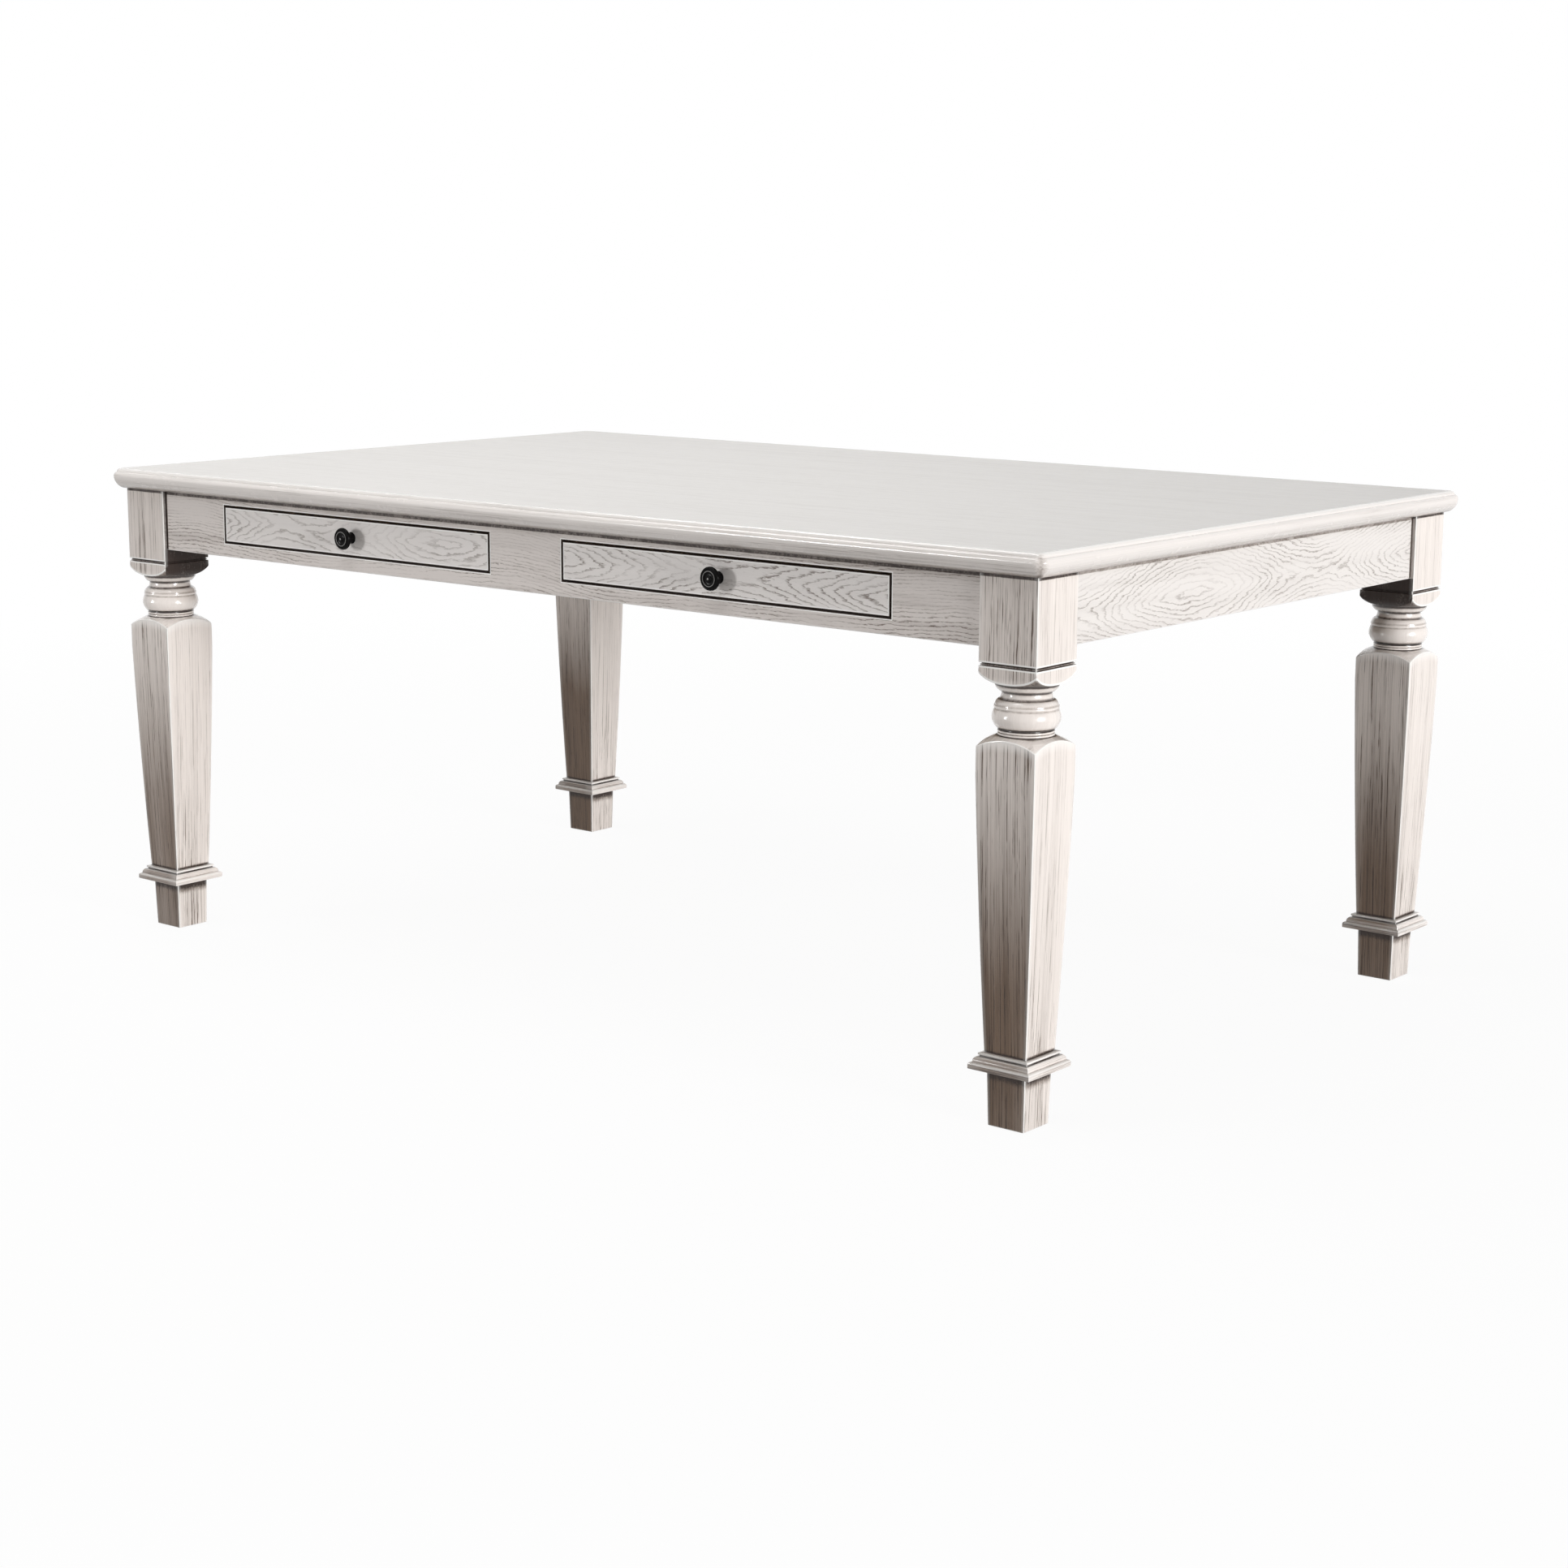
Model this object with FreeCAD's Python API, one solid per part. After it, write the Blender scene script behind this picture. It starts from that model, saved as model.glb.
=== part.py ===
import FreeCAD, Part
import math
import os

# Farmhouse table with turned and tapered legs and two drawers in its front apron.
# Lengths are millimetres. X runs along the table, the drawers face -Y, and the floor is at height 0.

# Overall size
table_length = 1830.0
table_width = 1130.0
table_height = 762.0

# Spaces that are left between pieces
screw_clearance = 0.15
slide_clearance = 1.0
runner_clearance = 0.3
kicker_clearance = 2.0
stop_clearance = 0.3
reveal_gap = 2.0
overrun = 4.0

# Tabletop: a core board, a mitred moulding round it and a sheet of veneer let in flush
top_thickness = 32.0
top_overhang = 19.0
veneer_thickness = 1.0
veneer_margin = 13.0
moulding_width = 42.0
corner_radius = 16.0
arris_inset = 11.0
edge_bead_width = 5.5
edge_bead_height = 5.5
edge_bead_bulge = 1.3
quirk_width = 1.9
quirk_drop = 0.7
nose_depth = 12.5
nose_bottom_inset = 15.0
upper_nose_bulge = 0.85
lower_nose_bulge = 3.9

# Leg: square block, groove and lip
block_side = 90.0
block_height = 114.4
groove_height = 4.4
groove_depth = 2.7
lip_corner_height = 8.9
lip_shoulder_height = 13.9
lip_shoulder_bulge = 2.2
arris_ease = 0.8

# Leg: turned neck, from the lip downwards
collar_radius = 41.7
collar_foot_radius = 35.6
collar_height = 9.5
collar_bulge = 1.5
neck_radius = 32.7
neck_height = 10.1
neck_foot_radius = 34.8
neck_bulge = 0.7
cap_radius = 41.4
cap_height = 8.2
cap_bulge = 1.6
fillet_radius = 41.6
fillet_height = 4.4
fillet_bulge = 0.6
bead_top_radius = 41.4
bead_radius = 44.8
bead_foot_radius = 38.0
bead_upper_height = 11.9
bead_lower_height = 13.5
bead_upper_bulge = 0.8
bead_lower_bulge = 1.5
undercut_radius = 34.8
undercut_height = 1.8
ring_radius = 36.2
ring_height = 3.8
ring_bulge = 0.9
ring_count = 2

# Leg: domed shoulder, tapered shaft and foot
shaft_side = 92.3
dome_inner_radius = 37.4
dome_height = 15.1
dome_bulge = 1.3
shaft_straight_height = 36.3
shaft_foot_side = 66.8
shaft_swell = 0.9
foot_top_side = 61.0
foot_bottom_side = 57.2
foot_height = 79.0

# Ankle moulding: four mitred strips round the bottom of the shaft
ankle_height = 22.5
ankle_width = 15.3
ankle_band_height = 6.4
ankle_band_round = 0.9
ankle_band_top_width = 13.4
ankle_band_top_height = 8.6
ankle_step_height = 9.6
ankle_ovolo_width = 11.0
ankle_ovolo_top_width = 7.2
ankle_ovolo_top_height = 16.4
ankle_ovolo_bulge = 1.2
ankle_quirk_width = 4.2
ankle_quirk_height = 2.4
ankle_fillet_width = 5.8
ankle_fillet_height = 2.6

# Foot glides
glide_diameter = 30.0
glide_thickness = 5.0
glide_proud = 1.5
glide_pin_diameter = 4.0
glide_pin_length = 18.0

# Aprons
apron_height = 95.0
apron_thickness = 22.0
apron_recess = 6.0
apron_ease = 0.8

# Drawer openings in the front apron, with the wood left beside them and between them
end_stile_width = 144.5
middle_stile_width = 145.0
opening_height = 59.0
rail_above_opening = 14.0

# Drawers
drawer_depth = 400.0
drawer_front_thickness = 20.0
drawer_front_ease = 0.9
drawer_side_thickness = 12.0
drawer_side_height = 50.0
drawer_back_thickness = 12.0
drawer_back_inset = 8.0
drawer_back_housing = 5.0
drawer_bottom_thickness = 5.0
drawer_bottom_groove = 5.0
drawer_bottom_lift = 5.0
tail_count = 2
tail_depth = 13.0
tail_root_width = 12.0
tail_end_width = 16.0

# Knobs, as radii and as distances out from the drawer front
knob_base_radius = 8.8
knob_base_thickness = 1.4
knob_stem_radius = 7.6
knob_stem_length = 7.6
knob_stem_waist = 0.3
knob_flare_length = 8.0
knob_flare_bulge = 1.3
knob_rim_radius = 16.5
knob_rim_thickness = 1.6
knob_rim_bulge = 0.3
knob_shoulder_radius = 14.5
knob_shoulder_height = 3.1
knob_shoulder_bulge = 0.6
knob_groove_radius = 13.4
knob_groove_depth = 0.9
knob_ring_radius = 12.5
knob_ring_inner_radius = 8.6
knob_ring_height = 1.3
knob_dish_depth = 0.4
knob_boss_radius = 4.3
knob_boss_height = 2.9
knob_screw_diameter = 4.0
knob_screw_reach = 12.0
knob_screw_head_diameter = 9.0
knob_screw_head_height = 2.6

# Cross rails that guide the drawers, with their runners, kickers and stops
cross_rail_thickness = 20.0
cross_rail_height = 85.0
runner_width = 14.0
runner_height = 12.0
kicker_height = 12.0
stop_length = 24.0
stop_height = 30.0
stop_thickness = 14.0
dowel_diameter = 8.0
dowel_length = 34.0
dowel_seat_depth = 13.0
dowel_spacing = 40.0

# Corner blocks, with the hanger bolts that draw the legs in
corner_block_thickness = 25.0
corner_block_height = 75.0
corner_block_drop = 10.0
leg_chamfer = 12.0
bolt_diameter = 8.0
bolt_length = 85.0
bolt_spacing = 36.0
bolt_tail = 3.0
washer_diameter = 22.0
washer_thickness = 2.0
nut_across_flats = 13.0
nut_height = 6.5
screw_diameter = 4.0
screw_head_diameter = 8.0
screw_head_height = 2.5
block_screw_length = 28.0
block_screw_spacing = 40.0
block_screw_seat = 12.0

# Angle brackets that hold the top down
bracket_leg = 25.0
bracket_width = 16.0
bracket_thickness = 2.0
bracket_screw_length = 16.0
bracket_side_spacing = 400.0

# Places worked out from the sizes above
half_length = table_length / 2
half_width = table_width / 2
top_underside = table_height - top_thickness
block_half = block_side / 2
shaft_half = shaft_side / 2
post_face_x = half_length - top_overhang
post_face_y = half_width - top_overhang
leg_x = post_face_x - block_half
leg_y = post_face_y - block_half
apron_bottom = top_underside - apron_height
apron_face_x = post_face_x - apron_recess
apron_face_y = post_face_y - apron_recess
apron_back_x = apron_face_x - apron_thickness
apron_back_y = apron_face_y - apron_thickness
apron_end_x = post_face_x - block_side
apron_end_y = post_face_y - block_side
opening_top = top_underside - rail_above_opening
opening_bottom = opening_top - opening_height
opening_width = apron_end_x - end_stile_width - middle_stile_width / 2
drawer_centre = (middle_stile_width + opening_width) / 2
drawer_half = opening_width / 2 - reveal_gap
guide_half = drawer_half + slide_clearance
drawer_floor = opening_bottom + reveal_gap
drawer_front_top = opening_top - reveal_gap
drawer_front_back = -apron_face_y + drawer_front_thickness
drawer_rear = -apron_face_y + drawer_depth
cross_rail_bottom = top_underside - cross_rail_height
ankle_top = foot_height + ankle_height
ankle_seat_half = shaft_foot_side / 2

root_two = math.sqrt(2)
corners = {
    "front_left": (-1, -1, 180),
    "front_right": (1, -1, 270),
    "back_left": (-1, 1, 90),
    "back_right": (1, 1, 0),
}


def point(x, y, z):
    return FreeCAD.Vector(x, y, z)


UP = point(0, 0, 1)
ORIGIN = point(0, 0, 0)


def block(x_low, x_high, y_low, y_high, z_low, z_high):
    """A box between two limits on each axis."""
    corner = point(x_low, y_low, z_low)
    return Part.makeBox(x_high - x_low, y_high - y_low, z_high - z_low, corner)


def rod(radius, start, direction, length):
    return Part.makeCylinder(radius, length, start, direction)


def line(a, b):
    return Part.LineSegment(a, b).toShape()


def bulged(a, b, bulge):
    """An arc from a to b in the XZ plane. A positive bulge swells to the right of the way from a to b."""
    chord = b - a
    side = point(chord.z, 0, -chord.x).normalize()
    middle = (a + b) * 0.5 + side * bulge
    return Part.Arc(a, middle, b).toShape()


def face_of(edges):
    return Part.Face(Part.Wire(Part.__sortEdges__(edges)))


def polygon_face(points):
    return Part.Face(Part.makePolygon(points + [points[0]]))


def mirrored_face(edges, low, high):
    """Closes edges on the +X side, which run from low to high, with their mirror image."""
    mirror = [edge.mirror(ORIGIN, point(1, 0, 0)) for edge in edges]
    bottom = line(point(-low.x, 0, low.z), low)
    top = line(point(-high.x, 0, high.z), high)
    return face_of(edges + mirror + [bottom, top])


def place(shape, x, y, turn, z=0):
    """A copy of the shape, turned about the vertical axis and moved."""
    copy = shape.copy()
    copy.rotate(ORIGIN, UP, turn)
    copy.translate(point(x, y, z))
    return copy


def on_plane_y(edge, y):
    tolerance = overrun / 1000
    return all(abs(vertex.Y - y) < tolerance for vertex in edge.Vertexes)


def at_apron_bottom(edge):
    return edge.BoundBox.ZMax < apron_bottom + apron_ease / 2


def ease_edges(shape, chosen, size):
    edges = [edge for edge in shape.Edges if chosen(edge)]
    return shape.makeChamfer(size, edges)


def export(name, shape):
    shape.exportStep("parts/" + name + ".step")
    print(name, len(shape.Solids), round(shape.Volume))


def group(shapes):
    return Part.makeCompound(list(shapes))


# Tabletop

def edge_profile(half):
    """The moulded edge of the top, from the underside up, with its nose at the distance half."""
    bottom = point(half - nose_bottom_inset, 0, top_underside)
    nose = point(half, 0, table_height - nose_depth)
    quirk = point(half - arris_inset + edge_bead_width + quirk_width, 0, table_height - edge_bead_height - quirk_drop)
    bead = point(half - arris_inset + edge_bead_width, 0, table_height - edge_bead_height)
    arris = point(half - arris_inset, 0, table_height)
    edges = [
        bulged(bottom, nose, lower_nose_bulge),
        bulged(nose, quirk, upper_nose_bulge),
        line(quirk, bead),
        bulged(bead, arris, edge_bead_bulge),
    ]
    return edges, bottom, arris


def top_slab(half, other_half):
    """A slab whose moulded edges run along Y, as long as twice the other half."""
    edges, bottom, arris = edge_profile(half)
    section = mirrored_face(edges, bottom, arris)
    section.translate(point(0, -other_half, 0))
    return section.extrude(point(0, 2 * other_half, 0))


def top_corner():
    """A quarter turn of the edge profile about the centre of the rounded corner."""
    edges, bottom, arris = edge_profile(corner_radius)
    axis_low = point(0, 0, top_underside)
    axis_high = point(0, 0, table_height)
    closing = [line(bottom, axis_low), line(axis_low, axis_high), line(axis_high, arris)]
    return face_of(edges + closing).revolve(ORIGIN, UP, 90)


def top_blank():
    """The whole top in one solid, before it is divided into its boards."""
    lengthwise = top_slab(half_length, half_width)
    crosswise = place(top_slab(half_width, half_length), 0, 0, 90)
    blank = lengthwise.common(crosswise)
    centre_x = half_length - corner_radius
    centre_y = half_width - corner_radius
    for sx, sy, turn in corners.values():
        x_limits = sorted((sx * centre_x, sx * (half_length + overrun)))
        y_limits = sorted((sy * centre_y, sy * (half_width + overrun)))
        square = block(*x_limits, *y_limits, top_underside - overrun, table_height + overrun)
        rounded = place(top_corner(), sx * centre_x, sy * centre_y, turn)
        blank = blank.cut(square).fuse(rounded)
    return blank.removeSplitter()


def veneer_sheet(extra_height=0):
    """The veneer, with its corners rounded to follow the top's."""
    sheet = block(
        veneer_margin - half_length, half_length - veneer_margin,
        veneer_margin - half_width, half_width - veneer_margin,
        table_height - veneer_thickness, table_height + extra_height)
    upright = [edge for edge in sheet.Edges if abs(edge.tangentAt(edge.FirstParameter).z) > 0.5]
    return sheet.makeFillet(corner_radius - veneer_margin, upright)


def top_core():
    core_x = half_length - moulding_width
    core_y = half_width - moulding_width
    core = block(-core_x, core_x, -core_y, core_y, top_underside, table_height - veneer_thickness)
    return core.cut(group(bracket_screw_holes()))


def mitre_prism(outer_x, outer_y, reach):
    """The plan of the strip on the -Y side of a frame, mitred at both ends."""
    plan = [
        point(-outer_x, -outer_y, -overrun),
        point(outer_x, -outer_y, -overrun),
        point(outer_x - reach, reach - outer_y, -overrun),
        point(reach - outer_x, reach - outer_y, -overrun),
    ]
    return polygon_face(plan).extrude(point(0, 0, table_height + 2 * overrun))


def edge_mouldings():
    ring = top_blank().cut(veneer_sheet(overrun))
    core_x = half_length - moulding_width
    core_y = half_width - moulding_width
    ring = ring.cut(block(-core_x, core_x, -core_y, core_y, top_underside - overrun, table_height + overrun))
    long_strip = mitre_prism(half_length, half_width, moulding_width)
    short_strip = mitre_prism(half_width, half_length, moulding_width)
    sides = {
        "front": place(long_strip, 0, 0, 0),
        "back": place(long_strip, 0, 0, 180),
        "right": place(short_strip, 0, 0, 90),
        "left": place(short_strip, 0, 0, 270),
    }
    return {name: ring.common(prism) for name, prism in sides.items()}


# Legs

def square_outline(stretch, trim):
    """The leg's outline seen square on. The diagonal outline is stretched, and trimmed to ease the corners."""
    def at(half, z):
        return point(half * stretch - trim, 0, z)

    dome_top = dome_top_height()
    taper_top = dome_top - dome_height - shaft_straight_height
    groove_top = top_underside - block_height
    groove_bottom = groove_top - groove_height
    shaft_top = (dome_top + groove_bottom) / 2
    swell_half = (shaft_half + ankle_seat_half) / 2 + shaft_swell
    swell_z = (taper_top + ankle_top) / 2
    foot_low = at(foot_bottom_side / 2, glide_proud)
    foot_high = at(foot_top_side / 2, foot_height)
    seat_low = at(ankle_seat_half, foot_height)
    seat_high = at(ankle_seat_half, ankle_top)
    taper_high = at(shaft_half, taper_top)
    shaft_end = at(shaft_half, shaft_top)
    lip_low = at(block_half, shaft_top)
    lip_high = at(block_half, groove_bottom)
    groove_low = at(block_half - groove_depth, groove_bottom)
    groove_high = at(block_half - groove_depth, groove_top)
    block_low = at(block_half, groove_top)
    block_high = at(block_half, top_underside)
    edges = [
        line(foot_low, foot_high),
        line(foot_high, seat_low),
        line(seat_low, seat_high),
        Part.Arc(seat_high, at(swell_half, swell_z), taper_high).toShape(),
        line(taper_high, shaft_end),
        line(shaft_end, lip_low),
        line(lip_low, lip_high),
        line(lip_high, groove_low),
        line(groove_low, groove_high),
        line(groove_high, block_low),
        line(block_low, block_high),
    ]
    return mirrored_face(edges, foot_low, block_high)


def dome_top_height():
    """The height where the turned neck meets the domed top of the shaft."""
    above = block_height + groove_height + lip_corner_height + lip_shoulder_height
    turned = collar_height + neck_height + cap_height + fillet_height
    turned += bead_upper_height + bead_lower_height + undercut_height + ring_count * ring_height
    return top_underside - above - turned


def square_leg():
    """The leg with every part of it square, and its corners slightly eased."""
    reach = 2 * block_side
    plain = square_outline(1, 0)
    plain.translate(point(0, -reach / 2, 0))
    plain = plain.extrude(point(0, reach, 0))
    diagonal = square_outline(root_two, arris_ease)
    diagonal.translate(point(0, -reach / 2, 0))
    diagonal = diagonal.extrude(point(0, reach, 0))
    leg = plain.common(place(plain, 0, 0, 90))
    leg = leg.common(place(diagonal, 0, 0, 45))
    return leg.common(place(diagonal, 0, 0, 135))


def turned_solid(edges, first, last):
    """Turns edges, which run up from the point first to the point last, about the vertical axis."""
    axis_low = point(0, 0, first.z)
    axis_high = point(0, 0, last.z)
    closing = [line(axis_low, first), line(axis_high, axis_low)]
    if last != axis_high:
        closing.append(line(last, axis_high))
    return face_of(edges + closing).revolve(ORIGIN, UP, 360)


def chain(start, steps):
    """Edges from start through steps of (radius, rise, bulge), and the point where they end."""
    edges = []
    here = start
    for radius, rise, bulge in steps:
        there = point(radius, 0, here.z + rise)
        edges.append(bulged(here, there, bulge) if bulge else line(here, there))
        here = there
    return edges, here


def turned(start, steps):
    edges, end = chain(start, steps)
    return turned_solid(edges, start, end)


def turned_neck():
    """The turned part of the leg, from the dome up to the underside of the square lip."""
    start_z = dome_top_height()
    start = point(ring_radius, 0, start_z)
    steps = [(ring_radius, ring_height, ring_bulge)] * ring_count
    steps += [
        (undercut_radius, 0, 0),
        (undercut_radius, undercut_height, 0),
        (bead_foot_radius, 0, 0),
        (bead_radius, bead_lower_height, bead_lower_bulge),
        (bead_top_radius, bead_upper_height, bead_upper_bulge),
        (fillet_radius, 0, 0),
        (fillet_radius, fillet_height, fillet_bulge),
        (cap_radius, 0, 0),
        (neck_foot_radius, cap_height, cap_bulge),
        (neck_radius, neck_height, -neck_bulge),
        (collar_foot_radius, 0, 0),
        (collar_radius, collar_height, collar_bulge),
    ]
    end_z = start_z + sum(rise for radius, rise, bulge in steps)
    return turned(start, steps), end_z


def dome_limit():
    """A turned solid that rounds the top of the square shaft."""
    top_z = dome_top_height()
    outer = shaft_half * root_two
    start = point(outer, 0, 0)
    steps = [
        (outer, top_z - dome_height, 0),
        (dome_inner_radius, dome_height, dome_bulge),
    ]
    return turned(start, steps)


def shoulder_limit(low_z):
    """A turned solid that rounds the underside of the square lip."""
    outer = block_half * root_two
    start = point(collar_radius, 0, low_z)
    steps = [
        (outer, lip_shoulder_height, lip_shoulder_bulge),
        (outer, lip_corner_height + groove_height + block_height, 0),
    ]
    return turned(start, steps)


def leg():
    """One leg about its own axis, with its inner corner towards -X and -Y."""
    square = square_leg()
    neck, shoulder_z = turned_neck()
    lower = square.common(dome_limit())
    upper = square.common(shoulder_limit(shoulder_z))
    solid = lower.fuse(neck).fuse(upper).removeSplitter()
    flat = corner_chamfer()
    holes = [hanger_bolt(z, screw_clearance) for z in bolt_heights()]
    glide_hole = glide(screw_clearance)
    return solid.cut(flat).cut(group(holes + [glide_hole]))


def corner_chamfer():
    """The wedge that is cut off the leg's inner corner, where the corner block bears."""
    plan = [
        point(leg_chamfer, -block_side, apron_bottom),
        point(-block_side, leg_chamfer, apron_bottom),
        point(-block_side, -block_side, apron_bottom),
    ]
    return polygon_face(plan).extrude(point(0, 0, apron_height + overrun))


def ankle_strip():
    """One strip of the ankle moulding, on the leg's -Y side, mitred at both ends."""
    seat = ankle_seat_half

    def at(width, z):
        return point(seat + width, 0, foot_height + z)

    low = at(0, 0)
    steps = [
        (line, at(ankle_width - ankle_band_round, 0), 0),
        (bulged, at(ankle_width, ankle_band_round), ankle_band_round / 4),
        (line, at(ankle_width, ankle_band_height), 0),
        (bulged, at(ankle_band_top_width, ankle_band_top_height), ankle_band_round / 2),
        (line, at(ankle_ovolo_width, ankle_step_height), 0),
        (bulged, at(ankle_ovolo_top_width, ankle_ovolo_top_height), ankle_ovolo_bulge),
        (line, at(ankle_quirk_width, ankle_ovolo_top_height), 0),
        (line, at(ankle_quirk_width, ankle_ovolo_top_height + ankle_quirk_height), 0),
        (line, at(ankle_fillet_width, ankle_ovolo_top_height + ankle_quirk_height), 0),
        (line, at(ankle_fillet_width, ankle_ovolo_top_height + ankle_quirk_height + ankle_fillet_height), 0),
        (line, at(0, ankle_height), 0),
        (line, low, 0),
    ]
    edges = []
    here = low
    for make, there, bulge in steps:
        edges.append(bulged(here, there, bulge) if make is bulged else line(here, there))
        here = there
    reach = seat + ankle_width + overrun
    strip = place(face_of(edges), 0, 0, -90)
    strip.translate(point(-reach, 0, 0))
    strip = strip.extrude(point(2 * reach, 0, 0))
    wedge = polygon_face([ORIGIN, point(-reach, -reach, 0), point(reach, -reach, 0)])
    return strip.common(wedge.extrude(point(0, 0, table_height)))


def ankle_moulding():
    strip = ankle_strip()
    return group([place(strip, 0, 0, turn) for turn in (0, 90, 180, 270)])


def glide(extra=0):
    """A foot glide: a disc let into the foot, with a pin up into the leg."""
    disc = rod(glide_diameter / 2 + extra, ORIGIN, UP, glide_thickness)
    pin = rod(glide_pin_diameter / 2 + extra, point(0, 0, glide_thickness), UP, glide_pin_length)
    return disc.fuse(pin)


# Corner blocks and what holds the legs

def along_diagonal(distance, z):
    """A point on the leg's inner diagonal, at a distance from the leg's axis towards the table's middle."""
    return point(-distance / root_two, -distance / root_two, z)


OUTWARD = point(1, 1, 0).normalize()
chamfer_distance = (block_side - leg_chamfer) / root_two
block_inner_distance = chamfer_distance + corner_block_thickness
corner_block_top = top_underside - corner_block_drop
corner_block_middle = corner_block_top - corner_block_height / 2
apron_back_local = block_half - apron_recess - apron_thickness


def bolt_heights():
    return [corner_block_middle - bolt_spacing / 2, corner_block_middle + bolt_spacing / 2]


def hanger_bolt(z, extra=0):
    inner_end = block_inner_distance + washer_thickness + nut_height + bolt_tail
    return rod(bolt_diameter / 2 + extra, along_diagonal(inner_end, z), OUTWARD, bolt_length + extra)


def washer(z):
    start = along_diagonal(block_inner_distance + washer_thickness, z)
    disc = rod(washer_diameter / 2, start, OUTWARD, washer_thickness)
    return disc.cut(hanger_bolt(z, screw_clearance))


def nut(z):
    centre = along_diagonal(block_inner_distance + washer_thickness + nut_height, z)
    across_corners = nut_across_flats / 2 / math.cos(math.radians(30))
    side = point(-1, 1, 0).normalize()
    rim = []
    for turn in range(6):
        angle = math.radians(60 * turn)
        rim.append(centre + side * (across_corners * math.cos(angle)) + UP * (across_corners * math.sin(angle)))
    return polygon_face(rim).extrude(OUTWARD * nut_height).cut(hanger_bolt(z, screw_clearance))


def block_screw_heights():
    return [corner_block_middle - block_screw_spacing / 2, corner_block_middle + block_screw_spacing / 2]


def screw(start, direction, length, extra=0):
    """A wood screw whose head bears at start and whose shank runs in the direction."""
    head_start = start - direction * screw_head_height
    head = rod(screw_head_diameter / 2 + extra, head_start, direction, screw_head_height)
    shank = rod(screw_diameter / 2 + extra, start, direction, length + extra)
    return head.fuse(shank)


def corner_block_reach(distance):
    """How far along the apron, from the leg's axis, a face of the corner block meets it."""
    return -distance * root_two - apron_back_local


def block_screw_places():
    """Head seats and directions of the screws from one corner block into both aprons."""
    middle = (corner_block_reach(chamfer_distance) + corner_block_reach(block_inner_distance)) / 2
    seat = apron_back_local - block_screw_seat
    places = []
    for z in block_screw_heights():
        places.append((point(middle, seat, z), point(0, 1, 0)))
        places.append((point(seat, middle, z), point(1, 0, 0)))
    return places


def block_screws(extra=0):
    return [screw(start, way, block_screw_length, extra) for start, way in block_screw_places()]


def corner_block():
    """A block across the corner, from one apron to the other, about the leg's axis."""
    outer = corner_block_reach(chamfer_distance)
    inner = corner_block_reach(block_inner_distance)
    low = corner_block_top - corner_block_height
    plan = [
        point(outer, apron_back_local, low),
        point(inner, apron_back_local, low),
        point(apron_back_local, inner, low),
        point(apron_back_local, outer, low),
    ]
    solid = polygon_face(plan).extrude(point(0, 0, corner_block_height))
    bolts = [hanger_bolt(z, screw_clearance) for z in bolt_heights()]
    pockets = []
    for start, way in block_screw_places():
        reach = corner_block_thickness * 2
        pockets.append(rod(screw_head_diameter / 2 + screw_clearance, start - way * reach, way, reach))
    return solid.cut(group(bolts + block_screws(screw_clearance) + pockets))


def at_corners(shape):
    """The shape at each leg, by corner name."""
    return {name: place(shape, sx * leg_x, sy * leg_y, turn) for name, (sx, sy, turn) in corners.items()}


def at_all_corners(shapes):
    return group(copy for shape in shapes for copy in at_corners(shape).values())


# Angle brackets

def bracket():
    """An angle bracket under the top and against a face that looks to -Y from y = 0."""
    upright = block(
        -bracket_width / 2, bracket_width / 2, -bracket_thickness, 0,
        top_underside - bracket_leg, top_underside)
    flat = block(
        -bracket_width / 2, bracket_width / 2, -bracket_leg, 0,
        top_underside - bracket_thickness, top_underside)
    solid = upright.fuse(flat).removeSplitter()
    return solid.cut(group(bracket_screws(screw_clearance)))


def bracket_screws(extra=0):
    middle = (bracket_leg + bracket_thickness) / 2
    up_start = point(0, -middle, top_underside - bracket_thickness)
    in_start = point(0, -bracket_thickness, top_underside - middle)
    return [
        screw(up_start, UP, bracket_screw_length, extra),
        screw(in_start, point(0, 1, 0), bracket_screw_length, extra),
    ]


def bracket_places():
    """Where the brackets stand, as x, y and the turn about the vertical axis."""
    rail_face = drawer_centre + guide_half + cross_rail_thickness
    places = [(0, apron_back_y, 0), (0, -apron_back_y, 180)]
    for y in (-bracket_side_spacing / 2, bracket_side_spacing / 2):
        places.append((apron_back_x, y, -90))
        places.append((-apron_back_x, y, 90))
        places.append((rail_face, y, 90))
        places.append((-rail_face, y, -90))
    return places


def bracket_screw_holes():
    return [place(hole, *spot) for spot in bracket_places() for hole in bracket_screws(screw_clearance)]


# Aprons and cross rails

def fixing_holes():
    """Every screw and dowel hole that the aprons hold."""
    holes = bracket_screw_holes() + dowels(screw_clearance)
    for hole in block_screws(screw_clearance):
        holes += at_corners(hole).values()
    return group(holes)


def long_apron(side):
    face = side * apron_face_y
    back = side * apron_back_y
    board = block(-apron_end_x, apron_end_x, min(face, back), max(face, back), apron_bottom, top_underside)
    board = ease_edges(board, lambda edge: on_plane_y(edge, face) and at_apron_bottom(edge), apron_ease)
    return board.cut(fixing_holes())


def short_apron(side):
    """An apron for one end of the table, made as a long one and turned."""
    low = -apron_end_y
    high = apron_end_y
    board = block(low, high, -apron_face_x, -apron_back_x, apron_bottom, top_underside)
    board = ease_edges(board, lambda edge: on_plane_y(edge, -apron_face_x) and at_apron_bottom(edge), apron_ease)
    return place(board, 0, 0, side * 90).cut(fixing_holes())


def drawer_opening(side):
    """A cutter for one drawer opening, through the front apron."""
    centre = side * drawer_centre
    half = opening_width / 2
    return block(
        centre - half, centre + half,
        -apron_face_y - overrun, -apron_back_y + overrun,
        opening_bottom, opening_top)


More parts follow.
